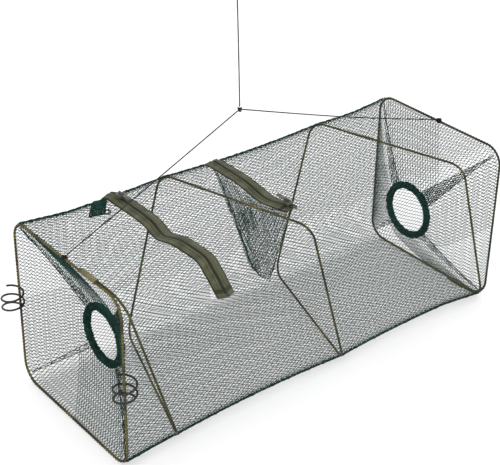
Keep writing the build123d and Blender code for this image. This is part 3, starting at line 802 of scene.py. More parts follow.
class STAGE_OT_studio(bpy.types.Operator):
    """Make the camera, the pale floor and the soft light"""
    bl_idname = "crab_trap.studio"
    bl_label = "Studio"

    def execute(self, context):
        scene = context.scene
        camera = bpy.data.objects.new("camera", bpy.data.cameras.new("camera"))
        camera.data.lens = LENS
        camera.data.sensor_width = 36
        camera.data.clip_end = 50
        camera.matrix_world = Matrix.Translation(CAMERA_PLACE) @ Matrix(CAMERA_AXES).transposed().to_4x4()
        scene.collection.objects.link(camera)
        scene.camera = camera
        scene.view_settings.view_transform = "Standard"

        world = bpy.data.worlds.new("studio")
        world.use_nodes = True
        background = world.node_tree.nodes["Background"]
        background.inputs["Color"].default_value = (1, 1, 1, 1)
        background.inputs["Strength"].default_value = 1.05
        scene.world = world
        self.floor()

        for name, place, power, size in LAMPS:
            lamp = bpy.data.lights.new(name, "AREA")
            lamp.energy = power
            lamp.size = size
            lamp_object = bpy.data.objects.new(name, lamp)
            lamp_object.location = place
            aim = Vector(LAMPS_AIM) - Vector(place)
            lamp_object.rotation_euler = aim.to_track_quat("-Z", "Y").to_euler()
            scene.collection.objects.link(lamp_object)
        return {"FINISHED"}

    def floor(self):
        finish, tree, shader, place = material_base("pale_floor", 0.9, specular=0.1)
        tint = ramp(tree, noise(tree, place, 3.0), ((0.3, (0.6, 0.6, 0.6)), (0.7, (0.63, 0.63, 0.63))))
        shader.inputs["Emission Color"].default_value = (1, 1, 1, 1)
        shader.inputs["Emission Strength"].default_value = 0.42
        tree.links.new(tint, shader.inputs["Base Color"])
        corners = [(x * FLOOR_HALF, y * FLOOR_HALF, 0) for x, y in ((-1, -1), (1, -1), (1, 1), (-1, 1))]
        floor = new_object("floor", corners, ((0, 1, 2, 3),), material=finish)
        floor.location.z = FLOOR_LEVEL


def nurbs_points(route, name):
    """Points read from a smooth curve through a cord's route."""
    data = bpy.data.curves.new(name, "CURVE")
    data.dimensions = "3D"
    spline = data.splines.new("NURBS")
    spline.points.add(len(route) - 1)
    for point, place in zip(spline.points, route):
        point.co = (*place, 1)
    spline.order_u = 3
    spline.use_endpoint_u = True
    data.resolution_u = 120
    line = bpy.data.objects.new(name, data)
    bpy.context.scene.collection.objects.link(line)
    mesh = bpy.data.meshes.new_from_object(line.evaluated_get(bpy.context.evaluated_depsgraph_get()))
    points = np.array([tuple(v.co) for v in mesh.vertices])
    bpy.data.objects.remove(line)
    bpy.data.meshes.remove(mesh)
    return points


def even(points, step):
    """The same line with its points a step apart."""
    points = np.asarray(points, float)
    run = np.concatenate(([0], np.cumsum(np.linalg.norm(np.diff(points, axis=0), axis=1))))
    marks = np.linspace(0, run[-1], max(2, int(run[-1] / step) + 1))
    return np.stack([np.interp(marks, run, points[:, n]) for n in range(3)], 1)


TWIST_STEPS = 10        # points along each twist of a cord
STRAND_OFF = 0.23       # a strand's distance from the cord's middle, in cord diameters
STRAND_RADIUS = 0.3     # its radius, in cord diameters


def twisted(points, diameter, lay, strands=3):
    """A cord of strands laid round each other along a line."""
    points = even(points, lay / TWIST_STEPS)
    across, up = path_frames(points)
    twists = np.arange(len(points)) / TWIST_STEPS
    parts = []
    for n in range(strands):
        turn = 2 * pi * (twists + n / strands)
        off = diameter * STRAND_OFF * (np.cos(turn)[:, None] * across + np.sin(turn)[:, None] * up)
        parts.append(tube(points + off, diameter * STRAND_RADIUS, 6))
    return join_parts(parts)


def sewn_cords(name, lines, settings, diameter=0.0012, lay=0.005):
    """Two-strand cords along some lines, in one mesh."""
    return new_object(name, *join_parts([twisted(line, diameter, lay, 2) for line in lines]),
                      material=material("seam_cord", settings))


# A tight overhand knot: its size, the share of its lobes and depth, its tail, and wraps round a wire
KNOT_SIZE, KNOT_LOBES, KNOT_DEPTH = 0.00102, 1.7, 1.5
KNOT_TAIL = ((0, 0, 0), (0.0012, -0.0018, 0.0006), (0.0026, -0.0034, 0.0002))
WRAP_TURNS, WRAP_WIDTH = 3.5, 0.0054


class CORDS_OT_bridle(bpy.types.Operator):
    """Make the bridle legs, the line and its loop as twisted cord"""
    bl_idname = "crab_trap.bridle"
    bl_label = "Bridle and line"

    def execute(self, context):
        settings = settings_of(context)
        routes = {"left_leg_cord": LEFT_LEG, "right_leg_cord": RIGHT_LEG, "line_cord": LIFT_LINE}
        left, right, line = (self.cord(name, nurbs_points(route, f"{name}_route"), settings)
                             for name, route in routes.items())
        loop = self.loop(settings)
        self.knot("left_frame_tie", "left_frame_knot", "left_end", LEFT_TIE, settings, wraps=True)
        self.knot("right_frame_tie", "right_frame_knot", "right_tie", RIGHT_TIE, settings, wraps=True)
        bridle_tie = self.knot("bridle_tie", "bridle_knot", "bridle", middle("bridle_knot"), settings)
        loop_tie = self.knot("loop_tie", "line_loop_knot", "bridle", middle("line_loop_knot"), settings)

        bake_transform(left[0])
        self.declare(left, "left_bridle_leg", LEFT_TIE, settings, with_pieces=[bridle_tie])
        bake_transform(right[0])
        self.declare(right, "right_bridle_leg", RIGHT_TIE, settings)
        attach(line[0], "bridle")
        self.declare(line, "lift_line", LIFT_LINE[0], settings, with_pieces=[loop_tie, loop])
        return {"FINISHED"}

    def cord(self, name, points, settings):
        """A twisted cord along a line, and the line."""
        cords = settings.cords
        thing = new_object(name, *twisted(points, cords.diameter, cords.lay),
                           material=material("line_cord", settings))
        return thing, points

    def declare(self, cord, node, exit, settings, **more):
        """Hides the CAD node that a cord stands for."""
        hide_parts(node)

    def loop(self, settings):
        """The eye at the end of the line, narrower at its foot."""
        low, high = box("line_loop")
        centre, reach = (low + high) / 2, (high - low) / 2 - settings.cords.diameter / 2
        turns = np.linspace(-pi / 2, 3 * pi / 2, 73)[:-1]
        swell = 1 - 0.18 * np.cos(turns + pi / 2)
        eye = np.stack((centre[0] + reach[0] * np.cos(turns) * swell, 0 * turns,
                        centre[2] + reach[2] * np.sin(turns)), 1)
        loop, _ = self.cord("line_loop_cord", np.vstack((eye, eye[:1])), settings)
        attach(loop, "bridle")
        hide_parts("line_loop")
        return loop

    def knot(self, name, node, body, centre, settings, wraps=False):
        """An overhand knot pulled tight, with a short tail, and wraps round a wire that it is tied to."""
        thick = settings.cords.diameter
        centre = np.array(centre, float)
        turns = np.linspace(0, 2 * pi, 97)[:-1]
        trefoil = centre + KNOT_SIZE * np.stack((
            np.sin(turns) + KNOT_LOBES * np.sin(2 * turns), KNOT_DEPTH * np.sin(3 * turns),
            np.cos(turns) - KNOT_LOBES * np.cos(2 * turns)), 1)
        tail = even(centre + KNOT_TAIL, 0.0003)
        parts = [tube(trefoil, thick * 0.52, 8, closed=True), tube(tail, thick * 0.42, 8)]
        if wraps:
            run = np.linspace(0, 1, 90)
            reach = WIRE / 2 + thick * 0.45
            angle = 2 * pi * WRAP_TURNS * run
            coil = np.stack((centre[0] + reach * np.sin(angle), centre[1] + (run - 0.5) * WRAP_WIDTH,
                             MID_Z + FRAME_HALF + reach * np.cos(angle)), 1)
            parts.append(tube(coil, thick * 0.46, 8))
        thing = new_object(name, *join_parts(parts), material=material("knot_cord", settings))
        stand_for(thing, body, node)
        return thing


class WIRE_OT_frames(bpy.types.Operator):
    """Make the two end frames and the ferrules that join the coil to them"""
    bl_idname = "crab_trap.frames"
    bl_label = "End frames"

    def execute(self, context):
        settings = settings_of(context)
        wire = settings.wire
        for end, x in (("left", LEFT_X), ("right", RIGHT_X)):
            square = [(x, side * FRAME_HALF, MID_Z + level * FRAME_HALF) for side, level in CORNER_SIGNS]
            path = rounded_path(square, [wire.frame_bend] * 4, closed=True)
            loop = new_object(f"{end}_frame_wire", *tube(path, WIRE / 2, wire.sides, closed=True),
                              material=material("spring_wire", settings))
            stand_for(loop, f"{end}_end", f"{end}_frame")
            self.lacing(end, path, settings)
        self.ferrule("start_ferrule", "left_end", settings)
        self.ferrule("end_ferrule", "right_end", settings)
        return {"FINISHED"}

    def lacing(self, end, path, settings):
        """Loops of twine that tie the net's edge to a frame, one at each mesh."""
        net = settings.netting
        size = WIRE + 0.9 * net.twine
        loops = grown(f"{end}_frame_lacing", *chains([path], closed=True), "loops",
                      material("seam_cord", settings), Spacing=net.cell_width, Thread=net.twine * 0.45,
                      Width=size, Height=size, Tilt=0.42)
        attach(loops, f"{end}_end")

    def ferrule(self, node, body, settings):
        """A flat sleeve pinched over two wires in three places."""
        low, high = box(node)
        centre, reach = (low + high) / 2, (high - low) / 2
        flat = reach[0] - reach[2]
        ring, stations = 28, 25
        vertices = []
        for share in np.linspace(0, 1, stations):
            pinch = 0.17 * abs(sin(3 * pi * share)) ** 6 + 0.10 * abs(2 * share - 1) ** 14
            for turn in np.arange(ring) * 2 * pi / ring:
                x = flat * np.clip(3 * cos(turn), -1, 1) + reach[2] * cos(turn) * (1 + 0.4 * pinch)
                z = reach[2] * sin(turn) * (1 - pinch)
                vertices.append((centre[0] + x, low[1] + share * 2 * reach[1], centre[2] + z))
        faces = [(n * ring + s, (n + 1) * ring + s, (n + 1) * ring + (s + 1) % ring, n * ring + (s + 1) % ring)
                 for n in range(stations - 1) for s in range(ring)]
        faces.append(tuple(range(ring)))
        faces.append(tuple((stations - 1) * ring + s for s in range(ring - 1, -1, -1)))
        sleeve = new_object(node.replace("ferrule", "crimp"), vertices, faces,
                            material=material("crimp_metal", settings))
        stand_for(sleeve, body, node)


class WIRE_OT_coil(bpy.types.Operator):
    """Make the square coil: nine straight sides and the bends between them"""
    bl_idname = "crab_trap.coil"
    bl_label = "Coil"

    def execute(self, context):
        settings = settings_of(context)
        wire = settings.wire
        lap = 0.0004        # a bend reaches this far over the side that it leads to
        end_low, end_high = box("coil_end")
        first = Vector((START_X, box("coil_start")[1][1], CORNERS[0][2]))
        last = Vector((END_X, min(end_low[1], end_high[1], key=abs), CORNERS[-1][2]))
        chain = [first, *(Vector(corner) for corner in CORNERS), last]
        ways = [(after - before).normalized() for before, after in zip(chain, chain[1:])]
        bends = [wire.frame_bend, *[wire.coil_bend] * (COIL_SIDES - 1), wire.frame_bend]
        reaches = [bend * np.tan(into.angle(out) / 2) for bend, into, out in zip(bends, ways, ways[1:])]
        for k in range(COIL_SIDES + 1):
            here = chain[k + 1]
            near = first if k == 0 else here - ways[k] * (reaches[k] + wire.overlap)
            far = last if k == COIL_SIDES else here + ways[k + 1] * (reaches[k] + lap)
            node = {0: "coil_start", COIL_SIDES: "coil_end"}.get(k, f"coil_corner_{k}")
            body = {0: "left_end", COIL_SIDES: "right_end"}.get(k, node)
            self.piece(node, body, rounded_path([near, here, far], [0, bends[k], 0]), settings)
            if k < COIL_SIDES:
                side = [here + ways[k + 1] * reaches[k],
                        chain[k + 2] - ways[k + 1] * (reaches[k + 1] + wire.overlap - lap)]
                self.piece(f"coil_side_{k + 1}", f"coil_side_{k + 1}", even(side, 0.01), settings)
        return {"FINISHED"}

    def piece(self, node, body, path, settings):
        thing = new_object(f"{node}_wire", *tube(path, WIRE / 2, settings.wire.sides),
                           material=material("spring_wire", settings))
        stand_for(thing, body, node)


def across_corner(point, corner, u):
    """Points on both sides of a corner; u is measured from it, and is negative on the side before."""
    before, after = point((corner - 1) % 4, 1 + np.minimum(u, 0)), point(corner, np.maximum(u, 0))
    return np.where((u < 0)[:, None], before, after)


class NET_OT_tube(bpy.types.Operator):
    """Make the four sides of the net tube and the seams along two of its corners"""
    bl_idname = "crab_trap.net_tube"
    bl_label = "Net tube"

    def execute(self, context):
        settings = settings_of(context)
        for side in range(len(SIDES)):
            net_panel(side, settings)
        self.seams(settings)
        return {"FINISHED"}

    def seams(self, settings):
        """A twisted cord along the back top and front bottom corners, over a gathered edge of net."""
        sag = settings.netting.sag
        seam_u = 0.012      # how far round the side the seam lies
        columns, rows = 180, 8
        cords, gathers = [], []
        x = np.linspace(LEFT_X + 0.004, RIGHT_X - 0.004, 260)
        for side in (3, 1):
            rest, ways = net_point(side, x, seam_u, sag)
            wave = 0.0006 * np.sin(x * 210) + 0.0004 * np.sin(x * 530 + 1)
            cords.append(rest + ways * 0.0008 + np.stack((0 * x, wave, wave * 0.6), 1))
            for layer in (0, 1):
                def place(i, j, side=side, layer=layer):
                    along = LEFT_X + 0.003 + (SPAN - 0.006) * i / columns
                    half = 0.018 + 0.012 * layer + 0.006 * np.sin(along * (37 + 20 * layer))
                    u = seam_u + (2 * j / rows - 1 + layer / rows) * half
                    both = across_corner(lambda side, u: np.hstack(net_point(side, along, u, sag)), side, u)
                    points, outs = np.hsplit(both, 2)
                    return points + outs * (0.0005 + 0.0006 * (1 + np.sin(i * 1.9 + j)))[:, None]

                gathers.append(lattice(columns, rows, place))
        fold_away(sewn_cords("seam_cords", cords, settings, 0.0014, 0.006), "net_seams")
        fold_away(knitted("seam_folds", gathers, settings))


# The funnels' net
MOUTH_CLEAR = 0.0006    # gap inside a frame's wire
THROAT_CLEAR = 0.0012   # gap round the ring's own wire
MOUTH_BEND = 0.0255     # corner radius at the frame
FUNNEL_BOW = 0.0022     # how far the sides bow out halfway along


def funnel_section(t):
    """Half size, corner radius and middle height of a funnel at share t of its depth."""
    mouth, throat = FRAME_HALF - WIRE / 2 - MOUTH_CLEAR, RING_RADIUS + THROAT_CLEAR
    half = mouth + (throat - mouth) * t
    return half, np.minimum(MOUTH_BEND + (throat - MOUTH_BEND) * t, half), MID_Z + (RING_Z - MID_Z) * t


def funnel_point(frame_x, inward, side, u, t, lift=0.0):
    """Points of a funnel, lifted away from its passage."""
    t, u = np.broadcast_arrays(np.asarray(t, float), np.asarray(u, float))
    half, bend, level = funnel_section(t)
    flat, ways = section(side, u, half, bend)
    bow = lift + FUNNEL_BOW * np.sin(pi * t)
    flat = flat + ways * np.asarray(bow)[..., None] * 0.5
    x = frame_x + inward * (0.0008 + t * (RING_DEPTH - 0.003) + bow * 0.8)
    return np.stack((x, flat[..., 0], level + flat[..., 1]), -1)


def funnel_side(t):
    half, bend, _ = funnel_section(t)
    return 2 * (half - bend) + bend * pi / 2


# Netting gathered at a funnel's corners, in the same order as the sides: width at the ring, and layers
GATHERS = ((0.022, 2), (0.012, 1), (0.006, 1), (0.016, 1))
GATHER_CURVE = 1.3      # a gather widens from nothing at the frame as this power of the depth
GATHER_EDGE = 0.0006    # twine left past a gather's edge
CROWDING = 0.27         # width that a gathered mesh keeps, in cell widths
CORNER_LIFT, LAYER_LIFT = 0.0012, 0.0022    # how far the first gathered layer stands off, and each layer more
CUT_EDGE = 0.0008       # twine left past the edge of a cut net

# Netting wound round a ring: way round, turns, and depth under the wrap's surface
WINDINGS = ((1, 74, 0.0006), (-1, 61, 0.0003), (1, 23, 0.0001))
WINDING_STEPS = 14      # points on each turn


class NET_OT_funnels(bpy.types.Operator):
    """Make the funnel at each end, with its gathered corners, and the wound ring that it ends in"""
    bl_idname = "crab_trap.funnels"
    bl_label = "Funnels"

    def execute(self, context):
        settings = settings_of(context)
        for end, frame_x, inward in (("left", LEFT_X, 1), ("right", RIGHT_X, -1)):
            self.funnel(end, frame_x, inward, settings)
            self.ring(end, frame_x + inward * RING_DEPTH, settings)
        return {"FINISHED"}

    def funnel(self, end, frame_x, inward, settings):
        """Four sides of net, the net gathered at their corners, and a seam cord along each gather's edges."""
        net = settings.netting
        depth = float(np.hypot(RING_DEPTH, FRAME_HALF - RING_RADIUS))
        columns, rows = 2 * round(depth / net.cell_length), 2 * round(funnel_side(0.0) / net.cell_width / 2)
        meshes, seams = [], []
        for side in range(len(SIDES)):
            def place(i, j, side=side):
                t = i / columns
                u = 0.5 + np.clip(j * net.cell_width / 2 / funnel_side(t), -0.5, 0.5)
                return funnel_point(frame_x, inward, side, u, t)

            def keep(i, j, _points):
                return abs(j) * net.cell_width / 2 < funnel_side(i / columns) / 2 + CUT_EDGE

            meshes.append(lattice(columns, rows, place, -rows, keep))
        for corner, (fullness, layers) in enumerate(GATHERS):
            for layer in range(layers):
                meshes.append(self.gather(frame_x, inward, corner, fullness, layer, net.cell_width))
            t = np.linspace(0.01, 1, 70)
            lift = 0.0022 + 0.0004 * np.sin(t * 60 + corner)
            for way in (-1, 1):
                u = way * (GATHER_EDGE + 0.5 * fullness * t ** GATHER_CURVE) / funnel_side(t)
                seams.append(across_corner(partial(self.lifted, frame_x, inward, t, lift), corner, u))
        netting = knitted(f"{end}_funnel_netting", meshes, settings)
        cords = sewn_cords(f"{end}_funnel_seam_cords", seams, settings, 0.0011)
        fold_away(netting, f"{end}_funnel", f"{end}_end")
        fold_away(cords, f"{end}_funnel_seams", f"{end}_end")

    def lifted(self, frame_x, inward, t, lift, side, u):
        return funnel_point(frame_x, inward, side, u, t, lift)

    def gather(self, frame_x, inward, corner, fullness, layer, cell):
        """One layer of the net gathered at a corner."""
        columns, rows = 26, 10

        def spot(i, j):
            """Share of the depth, way aside from the corner, and the gather's edge there."""
            t = 0.02 + 0.98 * i / columns
            edge = fullness * t ** GATHER_CURVE / 2 + GATHER_EDGE
            return t, np.clip((j + 0.5 * layer) * cell * CROWDING, -edge, edge), edge

        def place(i, j):
            t, aside, _ = spot(i, j)
            lift = CORNER_LIFT + LAYER_LIFT * layer * np.sin(pi * t)
            return across_corner(partial(self.lifted, frame_x, inward, t, lift), corner, aside / funnel_side(t))

        def keep(i, j, _points):
            _, aside, edge = spot(i, j)
            return abs(aside) < edge

        return lattice(columns, rows, place, -rows, keep)

    def ring(self, end, x, settings):
        """Netting wound tight round the ring, both ways, over a padded core."""
        centre = np.array((x, 0, RING_Z))
        low, high = box(f"{end}_ring_wrap")
        wrap = (high[0] - low[0]) / 2

        def round_ring(steps):
            run = np.linspace(0, 2 * pi, steps + 1)[:-1]
            return run, np.stack((0 * run, np.cos(run), np.sin(run)), 1)

        def lumps(run, large, small):
            return 1 + large * np.sin(9 * run) + small * np.sin(23 * run + 1)

        run, radial = round_ring(160)
        padding = tube(centre + RING_RADIUS * radial, (wrap - 0.0011) * lumps(run, 0.06, 0.05), 14, closed=True)
        body = new_object(f"{end}_ring_padding", *padding, material=material("wound_net", settings))
        lines = []
        for way, turns, depth in WINDINGS:
            run, radial = round_ring(turns * WINDING_STEPS)
            coil = way * turns * run + 0.5 * np.sin(7 * run)
            out = (wrap - depth) * 0.97 * lumps(run, 0.05, 0.04)
            lines.append(centre + radial * (RING_RADIUS + out * np.cos(coil))[:, None]
                         + np.array((1, 0, 0)) * (out * np.sin(coil))[:, None])
        winding = grown(f"{end}_ring_winding", *chains(lines, closed=True), "twine",
                        material("wound_net", settings), Radius=0.00048, Sides=4)
        for thing in (body, winding):
            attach(thing, f"{end}_entrance")
        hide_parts(f"{end}_ring_wrap")
        repaint(f"{end}_ring", material("ring_plastic", settings))


# Half a pair of tapes, from the teeth outwards: way across and rise over the net
TAPE_PROFILE = np.array((
    (0.0002, -0.0002), (0.0011, 0.0005), (0.0024, 0.00085), (0.0038, 0.0006), (0.005, 0.00025),
    (0.0072, 0.00018), (0.0098, 0.00018), (0.0114, 0.00024), (0.0122, 0.00048), (0.0126, 0.0001)))
SEWN_COLUMNS = (4, 8)       # points of the profile that the rows of stitches follow
HEM_ROWS = (5, 6, 7)        # stations from a zip's end that its hem is sewn along
ZIP_STEP = 0.0022           # run between stations
TAPE_CLEAR = 0.0006         # gap from the net's middle up to the tape's
TEETH_CLEAR = 0.0019        # gap from the net's middle up to the teeth's
# Where the catch zip has turned over the front edge: its shift and lift at this share of the side
DROOP_SHARE, DROOP_SHIFT, DROOP_LIFT = 0.2, 0.016, 0.004
# Where the bait zip's front end is pinched: its start, and the width lost by the end, both as shares
PINCH_START, PINCH = 0.93, 0.35


class ZIP_OT_zips(bpy.types.Operator):
    """Make the tapes, teeth and stitching of the catch zip and the bait zip"""
    bl_idname = "crab_trap.zips"
    bl_label = "Zips"

    def execute(self, context):
        settings = settings_of(context)
        for name in ("catch_zip", "bait_zip"):
            self.one_zip(name, settings)
            for part in ("stop", "slider", "pull"):
                repaint(f"{name}_{part}", material("zip_metal", settings))
        return {"FINISHED"}

    def one_zip(self, name, settings):
        zips = settings.zips
        low, high = box(f"{name}_tapes")
        centre = (low[0] + high[0]) / 2
        stations = self.stations(name, low, high)
        tops, parts = [], []
        for way in (-1, 1):
            upper, lower = self.tape(way, centre, stations, settings)
            tops.append(upper)
            parts.append(self.ribbon(upper, lower, way))
        tapes = new_object(f"{name}_woven_tapes", *join_parts(parts), material=material("zip_tape", settings))
        self.lay_out(tapes, stations)

        left, right = (top[:, 1:-1] for top in tops)
        hem_lines = [np.vstack((left[-back][::-1], right[-back])) + (0, -0.0003, 0.0002) for back in HEM_ROWS]
        hem = grown(f"{name}_end_hem", *chains(hem_lines), "stitches", material("stitching", settings),
                    Spacing=0.0012, Length=0.0019, Thread=0.0005)
        sewn_lines = [top[2:-2, column] + (0, 0, 0.00015) for column in SEWN_COLUMNS for top in tops]
        stitches = grown(f"{name}_stitches", *chains(sewn_lines), "stitches", material("stitching", settings),
                         Spacing=zips.stitch * 1.25, Length=zips.stitch, Thread=0.00032)
        row = []
        for side, u, _, shift, lift, _ in stations[3:-3]:
            spot, out = net_point(side, centre + shift, u, settings.netting.sag)
            row.append(spot + out * (TEETH_CLEAR + lift))
        teeth = grown(f"{name}_coil_teeth", *chains([row]), "loops", material("zip_teeth", settings),
                      Spacing=zips.tooth_pitch, Thread=0.00034, Width=0.0034, Height=0.0013, Tilt=0.25)

        fold_away(tapes, f"{name}_tapes")
        fold_away(teeth, f"{name}_teeth")
        fold_away(stitches)
        fold_away(hem)

    def stations(self, name, low, high):
        """Along a zip from its back end: side of the net, share of it, run, shift, lift, share of the width."""
        side_run = NET_WIDTH - 2 * TAPE_CLEAR
        start = 0.5 - high[1] / side_run
        length = high[1] - (low[1] if name == "bait_zip" else -side_run / 2)
        if name == "catch_zip":
            length += (MID_Z + side_run / 2 - low[2]) - 0.004
        count = int(length / ZIP_STEP)
        waves = np.array(CATCH_WAVES[::-1]).T
        out = []
        for n in range(count + 1):
            run = length * n / count
            y = high[1] - run
            u = start + run / side_run
            side, narrow = (3 if u <= 1 else 0), 1.0
            if name == "catch_zip":
                shift, lift = (float(np.interp(y, waves[0], wave)) for wave in waves[1:])
                if u > 1:
                    shift += DROOP_SHIFT * ((u - 1) / DROOP_SHARE) ** 1.5
                    lift += DROOP_LIFT * ((u - 1) / DROOP_SHARE)
            else:
                shift = 0.0012 * sin(26 * y)
                lift = (0.0014 + 0.0016 * np.exp(-((y + 0.06) / 0.03) ** 2)
                        + 0.001 * np.exp(-((y - 0.085) / 0.02) ** 2))
                narrow = 1 - PINCH * max(0, (run / length - PINCH_START) / (1 - PINCH_START)) ** 2
            out.append((side, u if side == 3 else u - 1, run, shift, float(lift), narrow))
        return out

    def tape(self, way, centre, stations, settings):
        """The upper and lower sides of one tape: a row of points across it at each station."""
        across, rise = TAPE_PROFILE.T
        crown = 1 - 0.75 * (across / settings.zips.tape_width) ** 2
        half = settings.zips.tape_thick / 2
        upper, lower = [], []
        for side, u, _, shift, lift, narrow in stations:
            spots, outs = net_point(side, centre + shift + way * across * narrow, u, settings.netting.sag)
            over = TAPE_CLEAR + lift * crown + rise
            upper.append(spots + outs * (over + half)[:, None])
            lower.append(spots + outs * (over - half)[:, None])
        return np.array(upper), np.array(lower)

    def ribbon(self, top, bottom, way):
        """A closed strip between an upper and a lower sheet of points."""
        rows, columns = top.shape[:2]
        vertices = [tuple(v) for v in (*top.reshape(-1, 3), *bottom.reshape(-1, 3))]
        count = rows * columns
        faces = []
        for r in range(rows - 1):
            for c in range(columns - 1):
                a, b = r * columns + c, r * columns + c + 1
                quad = (a, b, b + columns, a + columns)
                faces.append(quad)
                faces.append(tuple(count + n for n in reversed(quad)))
        rim = [*range(columns), *(r * columns + columns - 1 for r in range(1, rows)),
               *((rows - 1) * columns + c for c in range(columns - 2, -1, -1)),
               *(r * columns for r in range(rows - 2, 0, -1))]
        for a, b in zip(rim, rim[1:] + rim[:1]):
            faces.append((b, a, count + a, count + b))
        return vertices, faces if way > 0 else [tuple(reversed(face)) for face in faces]

    def lay_out(self, tapes, stations):
        """A flat layout in metres, so that the weave follows the tape."""
        layer = tapes.data.uv_layers.new(name="UVMap")
        columns = len(TAPE_PROFILE)
        sheet = len(stations) * columns
        for loop in tapes.data.loops:
            tape, spot = divmod(loop.vertex_index, 2 * sheet)
            row, column = divmod(spot % sheet, columns)
            layer.data[loop.index].uv = (TAPE_PROFILE[column][0] * (1 if tape else -1), stations[row][2])


POCKET_FOOT = 0.034             # width of the pocket's foot
POCKET_LEAN = 0.022             # how far the foot leans to the front
POCKET_MOUTH = (-0.08, 0.09)    # front and back of the slit that it hangs from
# Its walls, and the folds inside them: way along the trap, share of the thickness, mesh shift, and if it's a fold
POCKET_WALLS = ((-1, 1.0, 0, False), (1, 1.0, 0.5, False), (1, 0.7, 0.3, True), (-1, 0.6, 0.8, True))


class NET_OT_pocket(bpy.types.Operator):
    """Make the bait pocket that hangs under the bait zip"""
    bl_idname = "crab_trap.bait_pocket"
    bl_label = "Bait pocket"

    def execute(self, context):
        settings = settings_of(context)
        net = settings.netting
        low, high = box("bait_pocket")
        centre, size = (low + high) / 2, high - low
        columns = 2 * round(size[2] / net.cell_length)
        rows = 2 * round(size[1] / 2 / net.cell_width) + 2

        def width(t):
            return (1 - t) * size[1] + t * POCKET_FOOT

        def spot(t, aside, off):
            """Points at a share of the pocket's depth: aside is across the trap, off is along it."""
            y = centre[1] - POCKET_LEAN * t + aside
            top = top_height(centre[0], np.clip(y, *POCKET_MOUTH), net.sag) - 0.001
            return np.stack((centre[0] + off, y, top - t * (size[2] - 0.002)), 1)

        meshes = []
        for way, scale, shift, folded in POCKET_WALLS:
            def offset(j, shift=shift):
                return (j + shift) * net.cell_width / 2

            def place(i, j, way=way, scale=scale, offset=offset):
                t = i / columns
                reach = width(t) / 2
                aside = np.clip(offset(j), -reach, reach)
                thick = ((1 - t) * size[0] / 2 + t * 0.006) * scale
                thick = thick * np.sqrt(np.maximum(1 - (aside / reach) ** 4, 0))
                thick = thick * np.sqrt(np.maximum(1 - np.clip((t - 0.9) / 0.1, 0, 1) ** 2, 0))
                return spot(t, aside, way * thick * (1 + 0.2 * t * np.sin(260 * aside + 3 * t)))

            def keep(i, j, _points, folded=folded, offset=offset):
                half = width(i / columns) / 2
                inside = abs(offset(j)) < half + CUT_EDGE
                if folded:
                    inside &= offset(j) > half * (0.35 + 0.3 * np.sin(i * 0.4))
                return inside

            meshes.append(lattice(columns, rows, place, -rows, keep))
        pocket = knitted("bait_pocket_netting", meshes, settings)
        t = np.linspace(0, 1, 60)
        seams = [spot(t, end * width(t) / 2, 0.0008 * np.sin(40 * t)) for end in (-1, 1)]
        cords = sewn_cords("bait_pocket_seams", seams, settings)
        fold_away(pocket, "bait_pocket")
        fold_away(cords)
        return {"FINISHED"}


TAB_TWINE = 1.24        # the tab's twine is thicker than the tube's


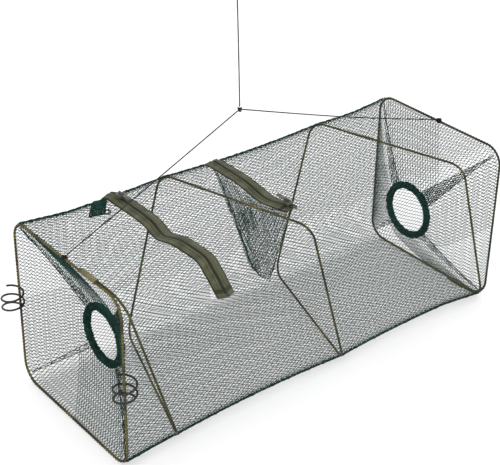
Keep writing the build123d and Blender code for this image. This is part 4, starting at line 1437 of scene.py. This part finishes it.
class NET_OT_tab(bpy.types.Operator):
    """Make the doubled tab of netting beside the catch zip, and the small ring on it"""
    bl_idname = "crab_trap.net_tab"
    bl_label = "Net tab"

    def execute(self, context):
        settings = settings_of(context)
        low, high = box("net_tab")
        sewn, free = high[1] - 0.003, low[1] - 0.0015
        corners = np.array(((high[0] - 0.011, sewn), (high[0] + 0.003, sewn - 0.009), (low[0] + 0.011, free),
                            (low[0] - 0.009, free + 0.006)))
        columns, rows = 20, 12

        def spot(a, b, lift):
            """a runs from the tab's sewn edge to its free edge, b across it."""
            weights = np.stack(((1 - a) * (1 - b), (1 - a) * b, a * b, a * (1 - b)), 1)
            flat = weights @ corners
            z = top_height(flat[:, 0], flat[:, 1], settings.netting.sag) + 0.0009 + lift + 0.0012 * np.sin(pi * a)
            return np.column_stack((flat, z))

        meshes = []
        for layer, shift in enumerate((0.0, 0.5, 0.25)):
            def place(i, j, layer=layer, shift=shift):
                return spot(np.clip((i + shift) / columns, 0, 1), np.clip((j + shift) / rows, 0, 1),
                            0.0004 + 0.0006 * layer)

            meshes.append(lattice(columns, rows, place))
        tab = knitted("net_tab_netting", meshes, settings, TAB_TWINE)
        share = np.linspace(0, 1, 30)
        rim = (spot(share, 0 * share, 0.001), spot(1 + 0 * share, share, 0.001),
               spot(share[::-1], 1 + 0 * share, 0.001))
        hem = sewn_cords("net_tab_hem", rim, settings)
        fold_away(tab, "net_tab")
        fold_away(hem)
        repaint("tab_ring", material("black_wire", settings))
        repaint("tab_ring_tie", material("seam_cord", settings))
        return {"FINISHED"}


class WIRE_OT_hooks(bpy.types.Operator):
    """Finish the two coil hooks that hold the trap shut when it is folded"""
    bl_idname = "crab_trap.hooks"
    bl_label = "Coil hooks"

    def execute(self, context):
        settings = settings_of(context)
        for node in ("front_hook", "back_hook"):
            repaint(node, material("black_wire", settings))
        return {"FINISHED"}


OPERATORS = (STAGE_OT_studio, CORDS_OT_bridle, WIRE_OT_frames, WIRE_OT_coil, NET_OT_tube, NET_OT_funnels,
             ZIP_OT_zips, NET_OT_pocket, NET_OT_tab, WIRE_OT_hooks)


class VIEW3D_PT_crab_trap(bpy.types.Panel):
    """The trap's settings, and a button for each group of pieces"""
    bl_label = "Crab Trap"
    bl_space_type = "VIEW_3D"
    bl_region_type = "UI"
    bl_category = "Crab Trap"

    def draw(self, context):
        settings = settings_of(context)
        for group in (settings.netting, settings.wire, settings.zips, settings.cords):
            column = self.layout.column(align=True)
            for name in group.__annotations__:
                column.prop(group, name)
        for operator in OPERATORS:
            self.layout.operator(operator.bl_idname)


CLASSES = (NettingSettings, WireSettings, ZipSettings, CordSettings, CrabTrapSettings, *OPERATORS,
           VIEW3D_PT_crab_trap)


def register():
    for cls in CLASSES:
        bpy.utils.register_class(cls)
    bpy.types.Scene.crab_trap = PointerProperty(type=CrabTrapSettings)


def unregister():
    del bpy.types.Scene.crab_trap
    for cls in reversed(CLASSES):
        bpy.utils.unregister_class(cls)


def main():
    register()
    for operator in OPERATORS:
        group, name = operator.bl_idname.split(".")
        getattr(getattr(bpy.ops, group), name)()


if __name__ == "__main__":
    main()
